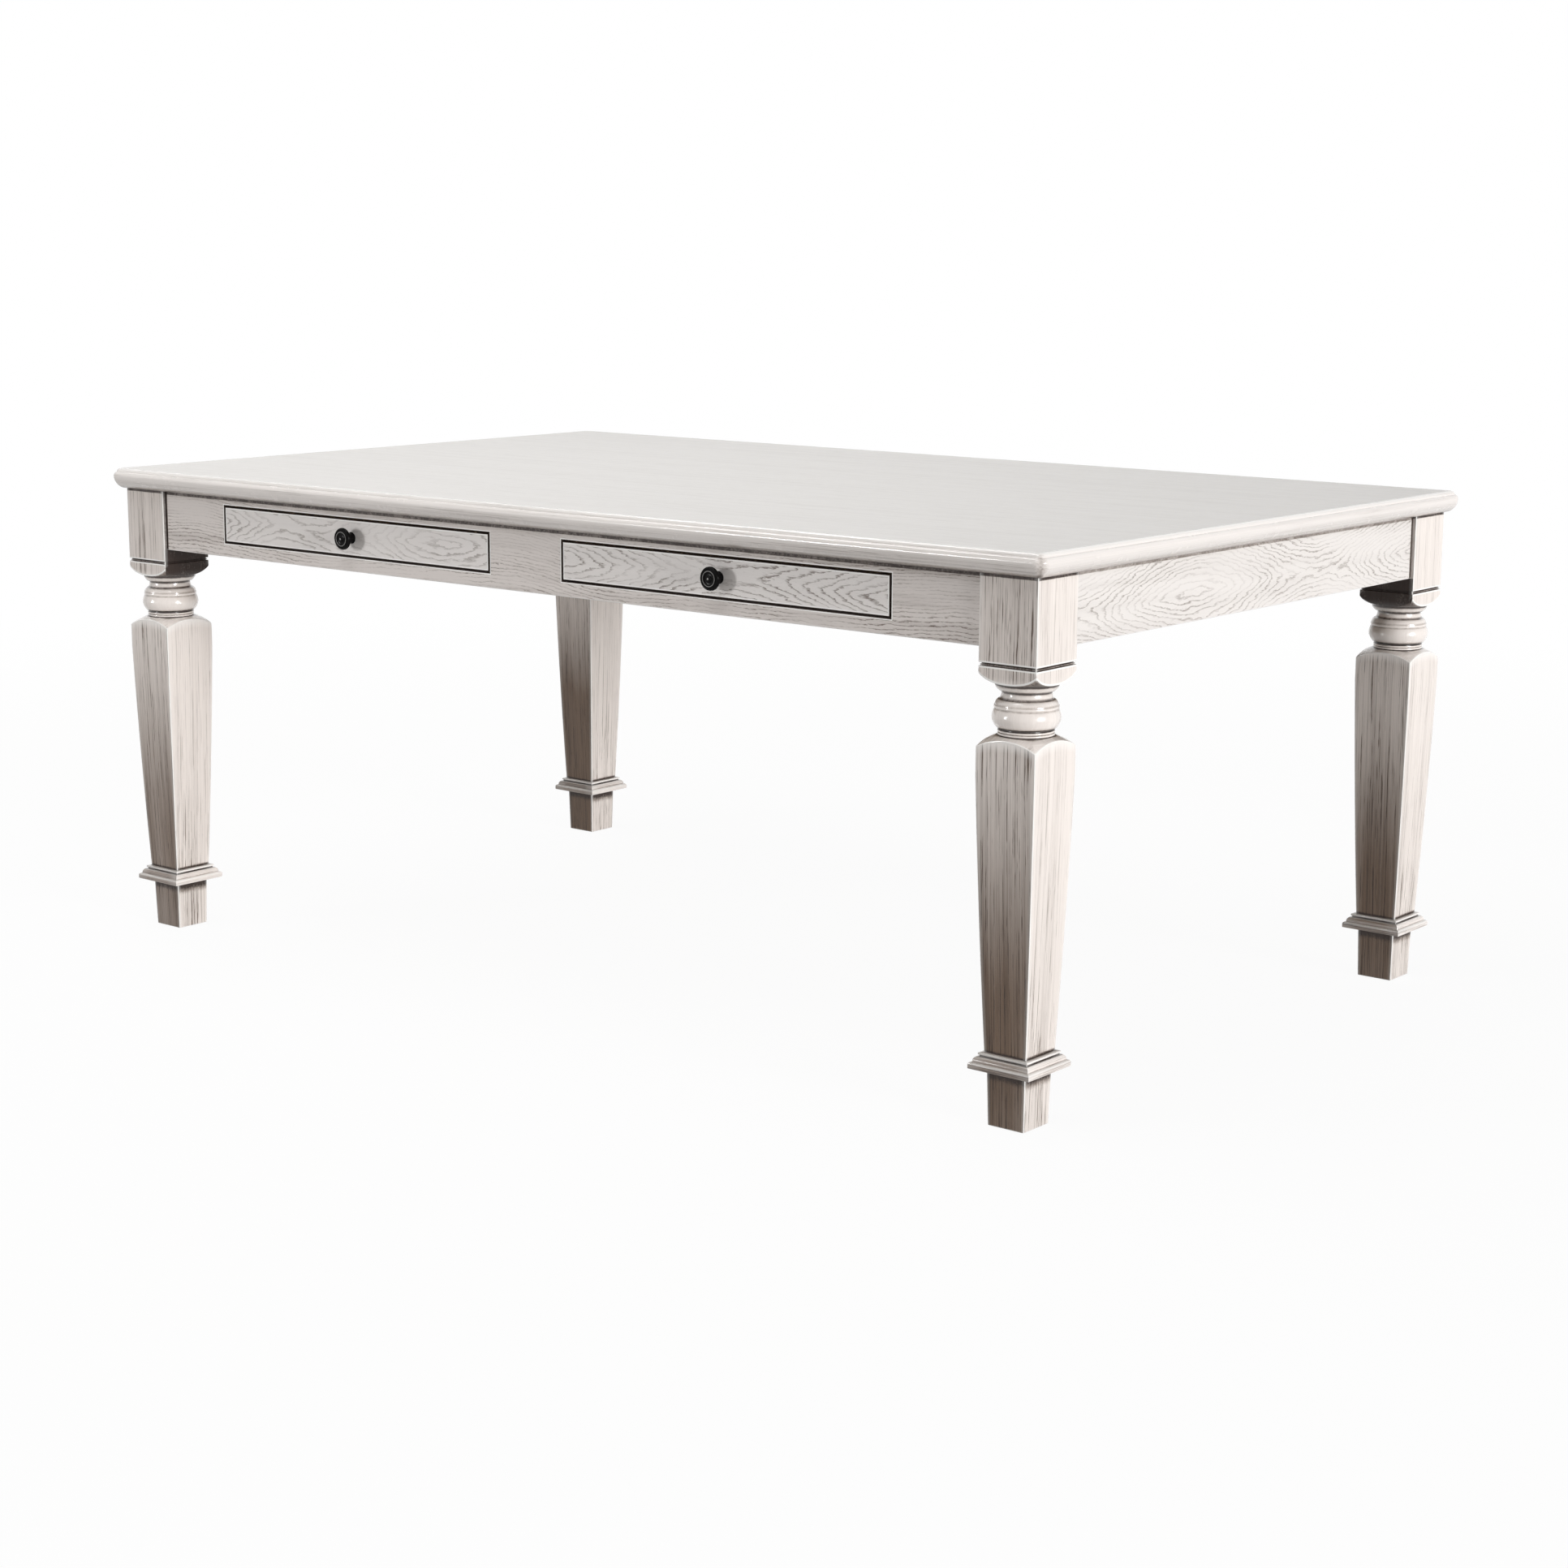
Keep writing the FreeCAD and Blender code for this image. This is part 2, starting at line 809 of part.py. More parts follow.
def front_apron():
    board = long_apron(-1)
    for side in (-1, 1):
        board = board.cut(drawer_opening(side))

    def round_opening(edge):
        box = edge.BoundBox
        inside = box.ZMin > apron_bottom + apron_ease * 2 and box.ZMax < top_underside - apron_ease
        return on_plane_y(edge, -apron_face_y) and inside

    return ease_edges(board, round_opening, apron_ease)


def cross_rail_spans():
    """The two sides of each cross rail in X, by name, and the way from it to its drawer."""
    spans = {}
    for name, side in (("left", -1), ("right", 1)):
        outer = side * (drawer_centre + guide_half)
        inner = side * (drawer_centre - guide_half)
        spans[name + "_outer"] = (outer, outer + side * cross_rail_thickness, -side)
        spans[name + "_inner"] = (inner, inner - side * cross_rail_thickness, side)
    return spans


def dowels(extra=0):
    """The dowels between the cross rails and the long aprons."""
    pins = []
    middle = (cross_rail_bottom + top_underside) / 2
    for guide, back, way in cross_rail_spans().values():
        x = (guide + back) / 2
        for side in (-1, 1):
            start_y = side * (apron_back_y + dowel_seat_depth + extra)
            for z in (middle - dowel_spacing / 2, middle + dowel_spacing / 2):
                pins.append(rod(
                    dowel_diameter / 2 + extra, point(x, start_y, z), point(0, -side, 0),
                    dowel_length + 2 * extra))
    return pins


def cross_rail(span):
    guide, back, way = span
    board = block(
        min(guide, back), max(guide, back), -apron_back_y, apron_back_y,
        cross_rail_bottom, top_underside)
    return board.cut(group(dowels(screw_clearance) + bracket_screw_holes()))


def runner(span):
    """A strip on the cross rail that the drawer's side slides on."""
    guide, back, way = span
    edge = guide + way * runner_width
    top = drawer_floor - runner_clearance
    return block(min(guide, edge), max(guide, edge), -apron_back_y, drawer_rear, top - runner_height, top)


def kicker(span):
    """A strip above the drawer's side that keeps the drawer level as it comes out."""
    guide, back, way = span
    edge = guide + way * runner_width
    low = drawer_floor + drawer_side_height + kicker_clearance
    return block(min(guide, edge), max(guide, edge), -apron_back_y, drawer_rear, low, low + kicker_height)


def drawer_stop(span):
    """A small block behind the drawer's side, which sets the front flush with the apron."""
    guide, back, way = span
    edge = guide + way * stop_thickness
    front = drawer_rear + stop_clearance
    return block(
        min(guide, edge), max(guide, edge), front, front + stop_length,
        drawer_floor, drawer_floor + stop_height)


# Drawers, made about x = 0 and moved to their places

def tail_prisms():
    """The dovetails at the front end of the drawer's +X side."""
    inner = drawer_half - drawer_side_thickness
    pitch = drawer_side_height / tail_count
    prisms = []
    for index in range(tail_count):
        z = drawer_floor + pitch * (index + 0.5)
        root = drawer_front_back
        end = drawer_front_back - tail_depth
        outline = [
            point(inner, root, z - tail_root_width / 2),
            point(inner, end, z - tail_end_width / 2),
            point(inner, end, z + tail_end_width / 2),
            point(inner, root, z + tail_root_width / 2),
        ]
        prisms.append(polygon_face(outline).extrude(point(drawer_side_thickness, 0, 0)))
    return prisms


def drawer_bottom_panel():
    """The bottom panel, which slides into grooves in the front and sides and runs under the back."""
    reach = drawer_half - drawer_side_thickness + drawer_bottom_groove
    low = drawer_floor + drawer_bottom_lift
    rear = drawer_rear - drawer_back_inset
    return block(
        -reach, reach, drawer_front_back - drawer_bottom_groove, rear,
        low, low + drawer_bottom_thickness)


def drawer_back_board():
    reach = drawer_half - drawer_side_thickness + drawer_back_housing
    rear = drawer_rear - drawer_back_inset
    low = drawer_floor + drawer_bottom_lift + drawer_bottom_thickness
    return block(-reach, reach, rear - drawer_back_thickness, rear, low, drawer_floor + drawer_side_height)


def drawer_side_board():
    """The +X side of a drawer, with its dovetails, groove and housing."""
    inner = drawer_half - drawer_side_thickness
    board = block(
        inner, drawer_half, drawer_front_back, drawer_rear,
        drawer_floor, drawer_floor + drawer_side_height)
    for tail in tail_prisms():
        board = board.fuse(tail)
    return board.removeSplitter().cut(drawer_bottom_panel()).cut(drawer_back_board())


def mirror_x(shape):
    return shape.mirror(ORIGIN, point(1, 0, 0))


def drawer_front_board():
    """The drawer front, with its face edges eased and sockets for the dovetails."""
    board = block(
        -drawer_half, drawer_half, -apron_face_y, drawer_front_back,
        drawer_floor, drawer_front_top)
    face_y = -apron_face_y
    board = ease_edges(board, lambda edge: on_plane_y(edge, face_y), drawer_front_ease)
    sockets = tail_prisms()
    sockets += [mirror_x(tail) for tail in sockets]
    board = board.cut(group(sockets)).cut(drawer_bottom_panel())
    return board.cut(knob_screw(screw_clearance))


def knob_height():
    return (drawer_floor + drawer_front_top) / 2


def cap_arc(start, height):
    """An arc from start up to the axis, where it lies level."""
    radius = (start.x ** 2 + height ** 2) / (2 * height)
    half_angle = math.asin(start.x / radius) / 2
    centre_z = start.z + height - radius
    middle = point(radius * math.sin(half_angle), 0, centre_z + radius * math.cos(half_angle))
    return Part.Arc(start, middle, point(0, 0, start.z + height)).toShape()


def knob():
    """A turned metal knob, with its base on the drawer front."""
    steps = [
        (knob_base_radius, knob_base_thickness, 0),
        (knob_stem_radius, 0, 0),
        (knob_stem_radius, knob_stem_length, -knob_stem_waist),
        (knob_rim_radius, knob_flare_length, -knob_flare_bulge),
        (knob_rim_radius, knob_rim_thickness, knob_rim_bulge),
        (knob_shoulder_radius, knob_shoulder_height, knob_shoulder_bulge),
        (knob_groove_radius, -knob_groove_depth, 0),
        (knob_ring_radius, 0, 0),
        (knob_ring_inner_radius, 0, knob_ring_height),
        (knob_boss_radius, 0, -knob_dish_depth),
    ]
    start = point(knob_base_radius, 0, 0)
    edges, end = chain(start, steps)
    tip = point(0, 0, end.z + knob_boss_height)
    solid = turned_solid(edges + [cap_arc(end, knob_boss_height)], start, tip)
    solid.rotate(ORIGIN, point(1, 0, 0), 90)
    solid.translate(point(0, -apron_face_y, knob_height()))
    return solid.cut(knob_screw(screw_clearance))


def knob_screw(extra=0):
    """The machine screw through the drawer front into the knob."""
    start = point(0, drawer_front_back, knob_height())
    way = point(0, -1, 0)
    length = drawer_front_thickness + knob_screw_reach + extra
    shank = rod(knob_screw_diameter / 2 + extra, start, way, length)
    head_radius = knob_screw_head_diameter / 2
    head = rod(head_radius, start, point(0, 1, 0), knob_screw_head_height)
    return head.fuse(shank)


def make_drawer(name, side):
    centre = side * drawer_centre
    right = drawer_side_board()
    pieces = {
        "front": drawer_front_board(),
        "side_right": right,
        "side_left": mirror_x(right),
        "back": drawer_back_board(),
        "bottom": drawer_bottom_panel(),
    }
    for piece, shape in pieces.items():
        export(name + "_drawer_" + piece, place(shape, centre, 0, 0))
    export(name + "_knob", place(knob(), centre, 0, 0))
    export(name + "_knob_screw", place(knob_screw(), centre, 0, 0))


def make_top():
    export("top_veneer", veneer_sheet())
    export("top_core", top_core())
    for side, shape in edge_mouldings().items():
        export("edge_moulding_" + side, shape)
    export("top_brackets", group([place(bracket(), *spot) for spot in bracket_places()]))
    screws = [place(one, *spot) for spot in bracket_places() for one in bracket_screws()]
    export("bracket_screws", group(screws))


def make_legs():
    for name, shape in at_corners(leg()).items():
        export("leg_" + name, shape)
    for name, shape in at_corners(ankle_moulding()).items():
        export("ankle_moulding_" + name, shape)
    for name, shape in at_corners(corner_block()).items():
        export("corner_block_" + name, shape)
    export("foot_glides", at_all_corners([glide()]))
    export("hanger_bolts", at_all_corners([hanger_bolt(z) for z in bolt_heights()]))
    export("bolt_washers", at_all_corners([washer(z) for z in bolt_heights()]))
    export("bolt_nuts", at_all_corners([nut(z) for z in bolt_heights()]))
    export("corner_block_screws", at_all_corners(block_screws()))


def make_frame():
    export("front_apron", front_apron())
    export("back_apron", long_apron(1))
    export("left_apron", short_apron(-1))
    export("right_apron", short_apron(1))
    export("rail_dowels", group(dowels()))
    for name, span in cross_rail_spans().items():
        export("cross_rail_" + name, cross_rail(span))
        export("drawer_runner_" + name, runner(span))
    export("drawer_kickers", group([kicker(span) for span in cross_rail_spans().values()]))
    export("drawer_stops", group([drawer_stop(span) for span in cross_rail_spans().values()]))


def main():
    os.makedirs("parts", exist_ok=True)
    make_top()
    make_legs()
    make_frame()
    make_drawer("left", -1)
    make_drawer("right", 1)


main()
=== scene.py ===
"""Dresses a farmhouse table: antique white over open-grained oak, with near-black metal knobs."""

import math

import bmesh
import bpy
from bpy.props import FloatProperty, FloatVectorProperty, IntProperty, PointerProperty
from mathutils import Matrix, Vector


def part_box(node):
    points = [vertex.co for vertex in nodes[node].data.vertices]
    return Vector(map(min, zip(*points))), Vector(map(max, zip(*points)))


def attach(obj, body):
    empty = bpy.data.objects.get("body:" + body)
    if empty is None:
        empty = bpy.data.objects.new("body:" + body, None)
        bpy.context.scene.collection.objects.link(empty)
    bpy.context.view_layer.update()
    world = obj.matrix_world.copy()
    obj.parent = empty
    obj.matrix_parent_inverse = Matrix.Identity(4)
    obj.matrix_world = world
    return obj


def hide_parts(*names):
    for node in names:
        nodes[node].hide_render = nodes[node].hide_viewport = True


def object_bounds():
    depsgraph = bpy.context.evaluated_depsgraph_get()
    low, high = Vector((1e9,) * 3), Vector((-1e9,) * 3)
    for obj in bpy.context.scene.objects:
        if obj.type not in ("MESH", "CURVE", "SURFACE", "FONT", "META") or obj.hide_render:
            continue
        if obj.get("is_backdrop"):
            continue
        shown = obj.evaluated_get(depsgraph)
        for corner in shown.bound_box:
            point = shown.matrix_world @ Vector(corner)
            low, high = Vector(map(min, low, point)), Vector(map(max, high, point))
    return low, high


bl_info = {
    "name": "Farmhouse Table",
    "version": (1, 0, 0),
    "blender": (4, 5, 0),
    "location": "View3D > Sidebar > Table",
    "description": "Finishes a farmhouse table in antique white oak and sets up its studio",
    "category": "Object",
}

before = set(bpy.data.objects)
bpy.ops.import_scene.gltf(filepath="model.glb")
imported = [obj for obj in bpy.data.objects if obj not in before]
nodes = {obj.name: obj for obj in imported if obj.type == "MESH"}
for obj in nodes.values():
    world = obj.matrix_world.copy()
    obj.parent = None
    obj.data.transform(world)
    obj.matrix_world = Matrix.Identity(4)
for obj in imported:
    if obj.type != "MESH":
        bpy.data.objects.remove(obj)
cad_low, cad_high = (Vector(corner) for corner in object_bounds())
CORNERS = {
    "front_left": (-1, -1, 180),
    "front_right": (1, -1, 270),
    "back_left": (-1, 1, 90),
    "back_right": (1, 1, 0),
}
# How much brown wash each leg's front and back faces take. The wash is partly painted shade, and the back
# left leg's larger value is painted shade.
LEG_PATINA_AND_SHADE = {"front_left": 0.93, "front_right": 1.06, "back_left": 1.4, "back_right": 1.0}
ROOT_TWO = math.sqrt(2)


# Sizes and colours that a user would change

def length(description, default):
    """A size in metres, named after the first words of its description."""
    return FloatProperty(
        name=description.split(",")[0].capitalize(), description=description,
        default=default, min=0, precision=5, unit="LENGTH")


def colour(description, default):
    return FloatVectorProperty(
        name=description.split(",")[0].capitalize(), description=description,
        default=default, min=0, max=1, size=3, subtype="COLOR")


class TopSizes(bpy.types.PropertyGroup):
    """The moulded edge of the top."""
    thickness: length("thickness, from the underside to the top face", 0.032)
    moulding_width: length("moulding width, of the mitred strip", 0.042)
    corner_radius: length("corner radius, seen from above", 0.016)
    veneer_margin: length("veneer margin, from the edge of the top", 0.013)
    veneer_thickness: length("veneer thickness, which is let in flush", 0.001)
    arris_inset: length("arris inset, where the top face ends", 0.011)
    bead_width: length("bead width, along the top", 0.0055)
    bead_height: length("bead height, down the edge", 0.0055)
    bead_bulge: length("bead bulge, out from its chord", 0.0013)
    quirk_width: length("quirk width, below the bead", 0.0019)
    quirk_drop: length("quirk drop, below the bead", 0.0007)
    nose_depth: length("nose depth, below the top face", 0.0125)
    nose_bottom_inset: length("nose bottom inset, from the edge", 0.015)
    upper_bulge: length("upper bulge, above the nose", 0.00085)
    lower_bulge: length("lower bulge, below the nose", 0.0039)


class LegSizes(bpy.types.PropertyGroup):
    """A leg: square post, turned neck, tapered shaft and foot."""
    overhang: length("overhang, of the top past the post", 0.019)
    post_width: length("post width, of the square block", 0.090)
    post_height: length("post height, down to the groove", 0.1144)
    groove_height: length("groove height, round the post", 0.0044)
    groove_depth: length("groove depth, into the post", 0.0027)
    lip_height: length("lip height, at its corners", 0.0089)
    shoulder_height: length("shoulder height, under the lip", 0.0139)
    shoulder_bulge: length("shoulder bulge, under the lip", 0.0022)
    dome_radius: length("dome radius, at its top", 0.0374)
    dome_height: length("dome height, at the corners", 0.0151)
    dome_bulge: length("dome bulge, out from its chord", 0.0013)
    dome_top: length("dome top, above the floor", 0.5214)
    straight_height: length("straight height, of the shaft below the dome", 0.0363)
    shaft_width: length("shaft width, at its top", 0.0923)
    shaft_foot_width: length("shaft foot width, at the ankle", 0.0668)
    shaft_swell: length("shaft swell, halfway down the taper", 0.0009)
    foot_top_width: length("foot top width, under the ankle", 0.061)
    foot_bottom_width: length("foot bottom width, at the floor", 0.0572)
    foot_height: length("foot height, up to the ankle", 0.079)
    foot_lift: length("foot lift, of the wood above the floor", 0.0015)
    ankle_height: length("ankle height, of the moulding", 0.0225)
    arris: length("arris, the rounding of the sharp edges", 0.0011)
    chamfer: length("chamfer, of the inner corner behind the aprons", 0.012)
    apron_bottom: length("apron bottom, above the floor", 0.635)
    columns: IntProperty(
        name="Columns", description="Mesh columns on one flat side of a leg", default=15, min=5, max=31)


class KnobSizes(bpy.types.PropertyGroup):
    """A turned metal knob."""
    base_radius: length("base radius, against the drawer front", 0.0088)
    base_thickness: length("base thickness, of the small flange", 0.0014)
    stem_radius: length("stem radius, at its ends", 0.0076)
    stem_length: length("stem length, up to the flare", 0.0076)
    stem_waist: length("stem waist, how far the stem draws in", 0.0003)
    flare_length: length("flare length, up to the rim", 0.008)
    flare_bulge: length("flare bulge, inwards", 0.0013)
    rim_radius: length("rim radius, at its widest", 0.0165)
    rim_thickness: length("rim thickness, of its edge", 0.0016)
    shoulder_radius: length("shoulder radius, inside the rim", 0.0145)
    shoulder_height: length("shoulder height, above the rim", 0.0031)
    groove_radius: length("groove radius, inside the shoulder", 0.0134)
    groove_depth: length("groove depth, below the shoulder", 0.0009)
    ring_radius: length("ring radius, on its outside", 0.0125)
    ring_inner_radius: length("ring inner radius", 0.0086)
    ring_height: length("ring height, above the groove", 0.0013)
    dish_depth: length("dish depth, round the button", 0.0004)
    button_radius: length("button radius", 0.0043)
    button_height: length("button height", 0.0029)


class Finish(bpy.types.PropertyGroup):
    """The colours of the table."""
    paint: colour("antique white, the wash over the oak", (0.80, 0.755, 0.725))
    drawer_paint: colour("drawer white, the wash on the drawer fronts", (0.80, 0.765, 0.745))
    leg_paint: colour("leg white, the wash on the legs", (0.84, 0.778, 0.736))
    front_paint: colour("front white, the wash on the front apron", (0.72, 0.668, 0.638))
    end_paint: colour("end white, the wash on the other aprons", (0.76, 0.725, 0.70))
    top_paint: colour("top white, the wash on the top", (0.79, 0.77, 0.745))
    # The brown wash darkens the legs towards the feet and on their front and back faces: partly an aged
    # colour, partly painted shade.
    patina: colour("patina, the brown wash towards the feet", (0.160, 0.104, 0.068))
    grain: colour("grain brown, left in the open grain", (0.115, 0.077, 0.055))
    # The glaze brown also paints shade: in the legs' creases and grooves, behind the aprons, under the top,
    # at the posts and in the drawer gaps.
    glaze: colour("glaze brown, wiped into grooves", (0.022, 0.011, 0.007))
    # The arris white is a painted highlight on edges, with some paint wear.
    arris: colour("arris white, on rubbed edges", (0.95, 0.94, 0.92))
    drawer_wood: colour("drawer wood, inside the drawers", (0.60, 0.42, 0.25))
    inner_wood: colour("inner wood, of the hidden rails and blocks", (0.48, 0.31, 0.17))
    core: colour("core board, under the top", (0.46, 0.33, 0.20))
    knob: colour("knob black", (0.004, 0.0035, 0.0035))
    # The knob's lighter colour is a painted highlight on the ring's crest and the button's tip, with some
    # wear.
    knob_wear_and_highlight: colour("worn knob, on the crests of its rings", (0.42, 0.41, 0.40))
    zinc: colour("zinc, on screws and brackets", (0.55, 0.55, 0.53))
    glide: colour("glide brown, under the feet", (0.045, 0.035, 0.03))


GROUPS = {"table_top": TopSizes, "table_leg": LegSizes, "table_knob": KnobSizes, "table_finish": Finish}


# Node trees

class Graph:
    """Adds the nodes of one tree and joins them."""

    def __init__(self, tree):
        self.tree = tree

    def give(self, socket, value):
        if isinstance(value, bpy.types.NodeSocket):
            self.tree.links.new(value, socket)
        else:
            socket.default_value = value

    def fill(self, node, values):
        for name, value in values.items():
            self.give(node.inputs[name], value)

    def add(self, kind, values=None, **settings):
        node = self.tree.nodes.new(kind)
        for name, value in settings.items():
            setattr(node, name, value)
        self.fill(node, values or {})
        return node

    def math(self, operation, *values, clamp=False):
        values = dict(enumerate(values))
        return self.add("ShaderNodeMath", values, operation=operation, use_clamp=clamp).outputs[0]

    def times(self, first, second, clamp=False):
        return self.math("MULTIPLY", first, second, clamp=clamp)

    def minus(self, first, second):
        return self.math("SUBTRACT", first, second)

    def larger(self, first, second):
        return self.math("MAXIMUM", first, second)

    def vector(self, operation, *values):
        return self.add("ShaderNodeVectorMath", dict(enumerate(values)), operation=operation).outputs[0]

    def distance(self, vector):
        return self.add("ShaderNodeVectorMath", {0: vector}, operation="LENGTH").outputs["Value"]

    def parts(self, vector):
        return self.add("ShaderNodeSeparateXYZ", {"Vector": vector}).outputs

    def object_place(self):
        return self.add("ShaderNodeTexCoord").outputs["Object"]

    def attribute(self, name, output="Fac"):
        return self.add("ShaderNodeAttribute", attribute_name=name).outputs[output]

    def group(self, name, values):
        return self.add("ShaderNodeGroup", values, node_tree=bpy.data.node_groups[name])

    def bump(self, height, distance, strength):
        values = {"Height": height, "Distance": distance, "Strength": strength}
        return self.add("ShaderNodeBump", values).outputs[0]

    def noise(self, vector, scale, detail=2.0, roughness=0.5):
        """Noise around zero, from about -0.5 to 0.5, on a vector that is first stretched by scale."""
        stretched = self.vector("MULTIPLY", vector, scale)
        noise = self.add("ShaderNodeTexNoise", {
            "Vector": stretched, "Scale": 1.0, "Detail": detail, "Roughness": roughness})
        return self.minus(noise.outputs["Fac"], 0.5)

    def ramp(self, value, low, high, start=0.0, end=1.0):
        """A smooth step of the value from start at low to end at high."""
        values = {"Value": value, "From Min": low, "From Max": high, "To Min": start, "To Max": end}
        return self.add("ShaderNodeMapRange", values, interpolation_type="SMOOTHSTEP").outputs["Result"]

    def blend(self, factor, first, second):
        values = {0: factor, 6: first, 7: second}
        return self.add("ShaderNodeMix", values, data_type="RGBA", clamp_factor=True).outputs[2]

    def sum(self, *values, clamp=False):
        total = values[0]
        for value in values[1:]:
            total = self.math("ADD", total, value, clamp=clamp and value is values[-1])
        return total


def new_group(name, inputs, outputs):
    """An empty node group: its graph, its inputs by name and a way to set its outputs.

    An input is given by its default, or by its kind where it has none, and an output by its kind.
    """
    tree = bpy.data.node_groups.new(name, "ShaderNodeTree")
    for socket_name, default in inputs.items():
        kind = default if isinstance(default, str) else "Float"
        socket = tree.interface.new_socket(name=socket_name, in_out="INPUT", socket_type="NodeSocket" + kind)
        if kind == "Float":
            socket.default_value = default
    for socket_name, kind in outputs.items():
        tree.interface.new_socket(name=socket_name, in_out="OUTPUT", socket_type="NodeSocket" + kind)
    graph = Graph(tree)
    given = graph.add("NodeGroupInput").outputs
    result = graph.add("NodeGroupOutput")

    def put(socket_name, value):
        tree.links.new(value, result.inputs[socket_name])

    return graph, given, put


def shifted(graph, given):
    """The group's Vector, moved to another part of the noise by its Seed."""
    seed = given["Seed"]
    shift = graph.add("ShaderNodeCombineXYZ", {
        "X": seed, "Y": graph.times(seed, 1.7), "Z": graph.times(seed, 2.3)})
    return graph.vector("ADD", given["Vector"], shift.outputs[0])


GRAIN_OUTPUTS = {"Ring": "Float", "Pores": "Float", "Tone": "Float"}


def oak_cathedral():
    """Flat-sawn oak with its grain along X: arches and closed eyes of growth rings, drawn in short pores."""
    graph, given, put = new_group("oak_cathedral", {
        "Vector": "Vector", "Seed": 0.0, "Eye": 0.0, "Eye Spacing": 0.4, "Eye Rings": 4.0, "Crest": 0.0,
        "Rings Across": 570.0, "Point": 1.35, "Wander": 3.0}, GRAIN_OUTPUTS)
    seeded = shifted(graph, given)
    along, across, deep = graph.parts(given["Vector"])
    crest = graph.times(graph.noise(seeded, (2.6, 0.2, 0.2), 1.0), 0.05)
    side = graph.minus(graph.minus(across, given["Crest"]), crest)
    pointed = graph.math("POWER", graph.math("ABSOLUTE", side), given["Point"])
    bowl = graph.times(pointed, given["Rings Across"])
    turn = graph.math("DIVIDE", graph.minus(along, given["Eye"]), given["Eye Spacing"])
    wave = graph.math("COSINE", graph.times(turn, 2 * math.pi))
    hills = graph.times(wave, given["Eye Rings"])
    wander = graph.times(graph.noise(seeded, (7.0, 20.0, 20.0), 3.0, 0.55), given["Wander"])
    depth = graph.times(deep, 90.0)
    rings = graph.sum(bowl, wander, depth)
    rings = graph.minus(rings, hills)
    jag = graph.sum(graph.times(graph.noise(seeded, (85.0, 400.0, 400.0), 2.0, 0.6), 0.7),
                     graph.times(graph.noise(seeded, (32.0, 110.0, 110.0), 1.0), 1.0))
    saw = graph.math("FRACT", graph.sum(rings, jag))
    early = graph.times(graph.ramp(saw, 0.0, 0.05), graph.ramp(saw, 0.08, 0.42, 1.0, 0.0))
    heavy = graph.ramp(graph.noise(seeded, (6.0, 24.0, 24.0), 2.0), -0.14, 0.14, 0.25, 1.0)
    early = graph.times(early, heavy)
    grit = graph.noise(seeded, (120.0, 900.0, 900.0), 2.0, 0.65)
    pore = graph.ramp(grit, -0.12, 0.04)
    sparse = graph.ramp(grit, 0.10, 0.16, 0.0, 0.25)
    bed = graph.larger(early, graph.times(sparse, heavy))
    put("Ring", early)
    put("Pores", graph.times(pore, bed))
    put("Tone", graph.noise(seeded, (3.0, 60.0, 60.0), 3.0, 0.6))
    return graph.tree


def oak_rift():
    """Rift-sawn oak whose grain runs along X: long straight streaks and thin open pores."""
    graph, given, put = new_group("oak_rift", {
        "Vector": "Vector", "Seed": 0.0, "Coarse": 480.0, "Broad": 1.0}, GRAIN_OUTPUTS)
    seeded = shifted(graph, given)
    drift = graph.times(graph.noise(seeded, (1.2, 4.0, 4.0), 1.0), 0.004)
    sway = graph.add("ShaderNodeCombineXYZ", {"X": 0.0, "Y": drift, "Z": drift})
    seeded = graph.vector("ADD", seeded, sway.outputs[0])
    coarse = given["Coarse"]
    stretch = graph.add("ShaderNodeCombineXYZ", {"X": 1.2, "Y": coarse, "Z": coarse}).outputs[0]
    middle = graph.noise(seeded, stretch, 3.0, 0.72)
    broad = graph.times(graph.noise(seeded, (1.3, 42.0, 42.0), 2.0, 0.5), given["Broad"])
    fine = graph.noise(seeded, (3.0, 1200.0, 1200.0), 2.0, 0.6)
    mixed = graph.sum(middle, graph.times(broad, 0.5), graph.times(fine, 0.8))
    line = graph.ramp(graph.noise(seeded, (9.0, 480.0, 480.0), 3.0, 0.7), 0.06, 0.10)
    put("Ring", graph.ramp(mixed, 0.0, 0.10))
    put("Pores", graph.times(line, graph.ramp(mixed, -0.12, 0.08, 0.3, 1.0)))
    put("Tone", graph.sum(graph.times(broad, 0.9), graph.times(middle, 0.3)))
    return graph.tree


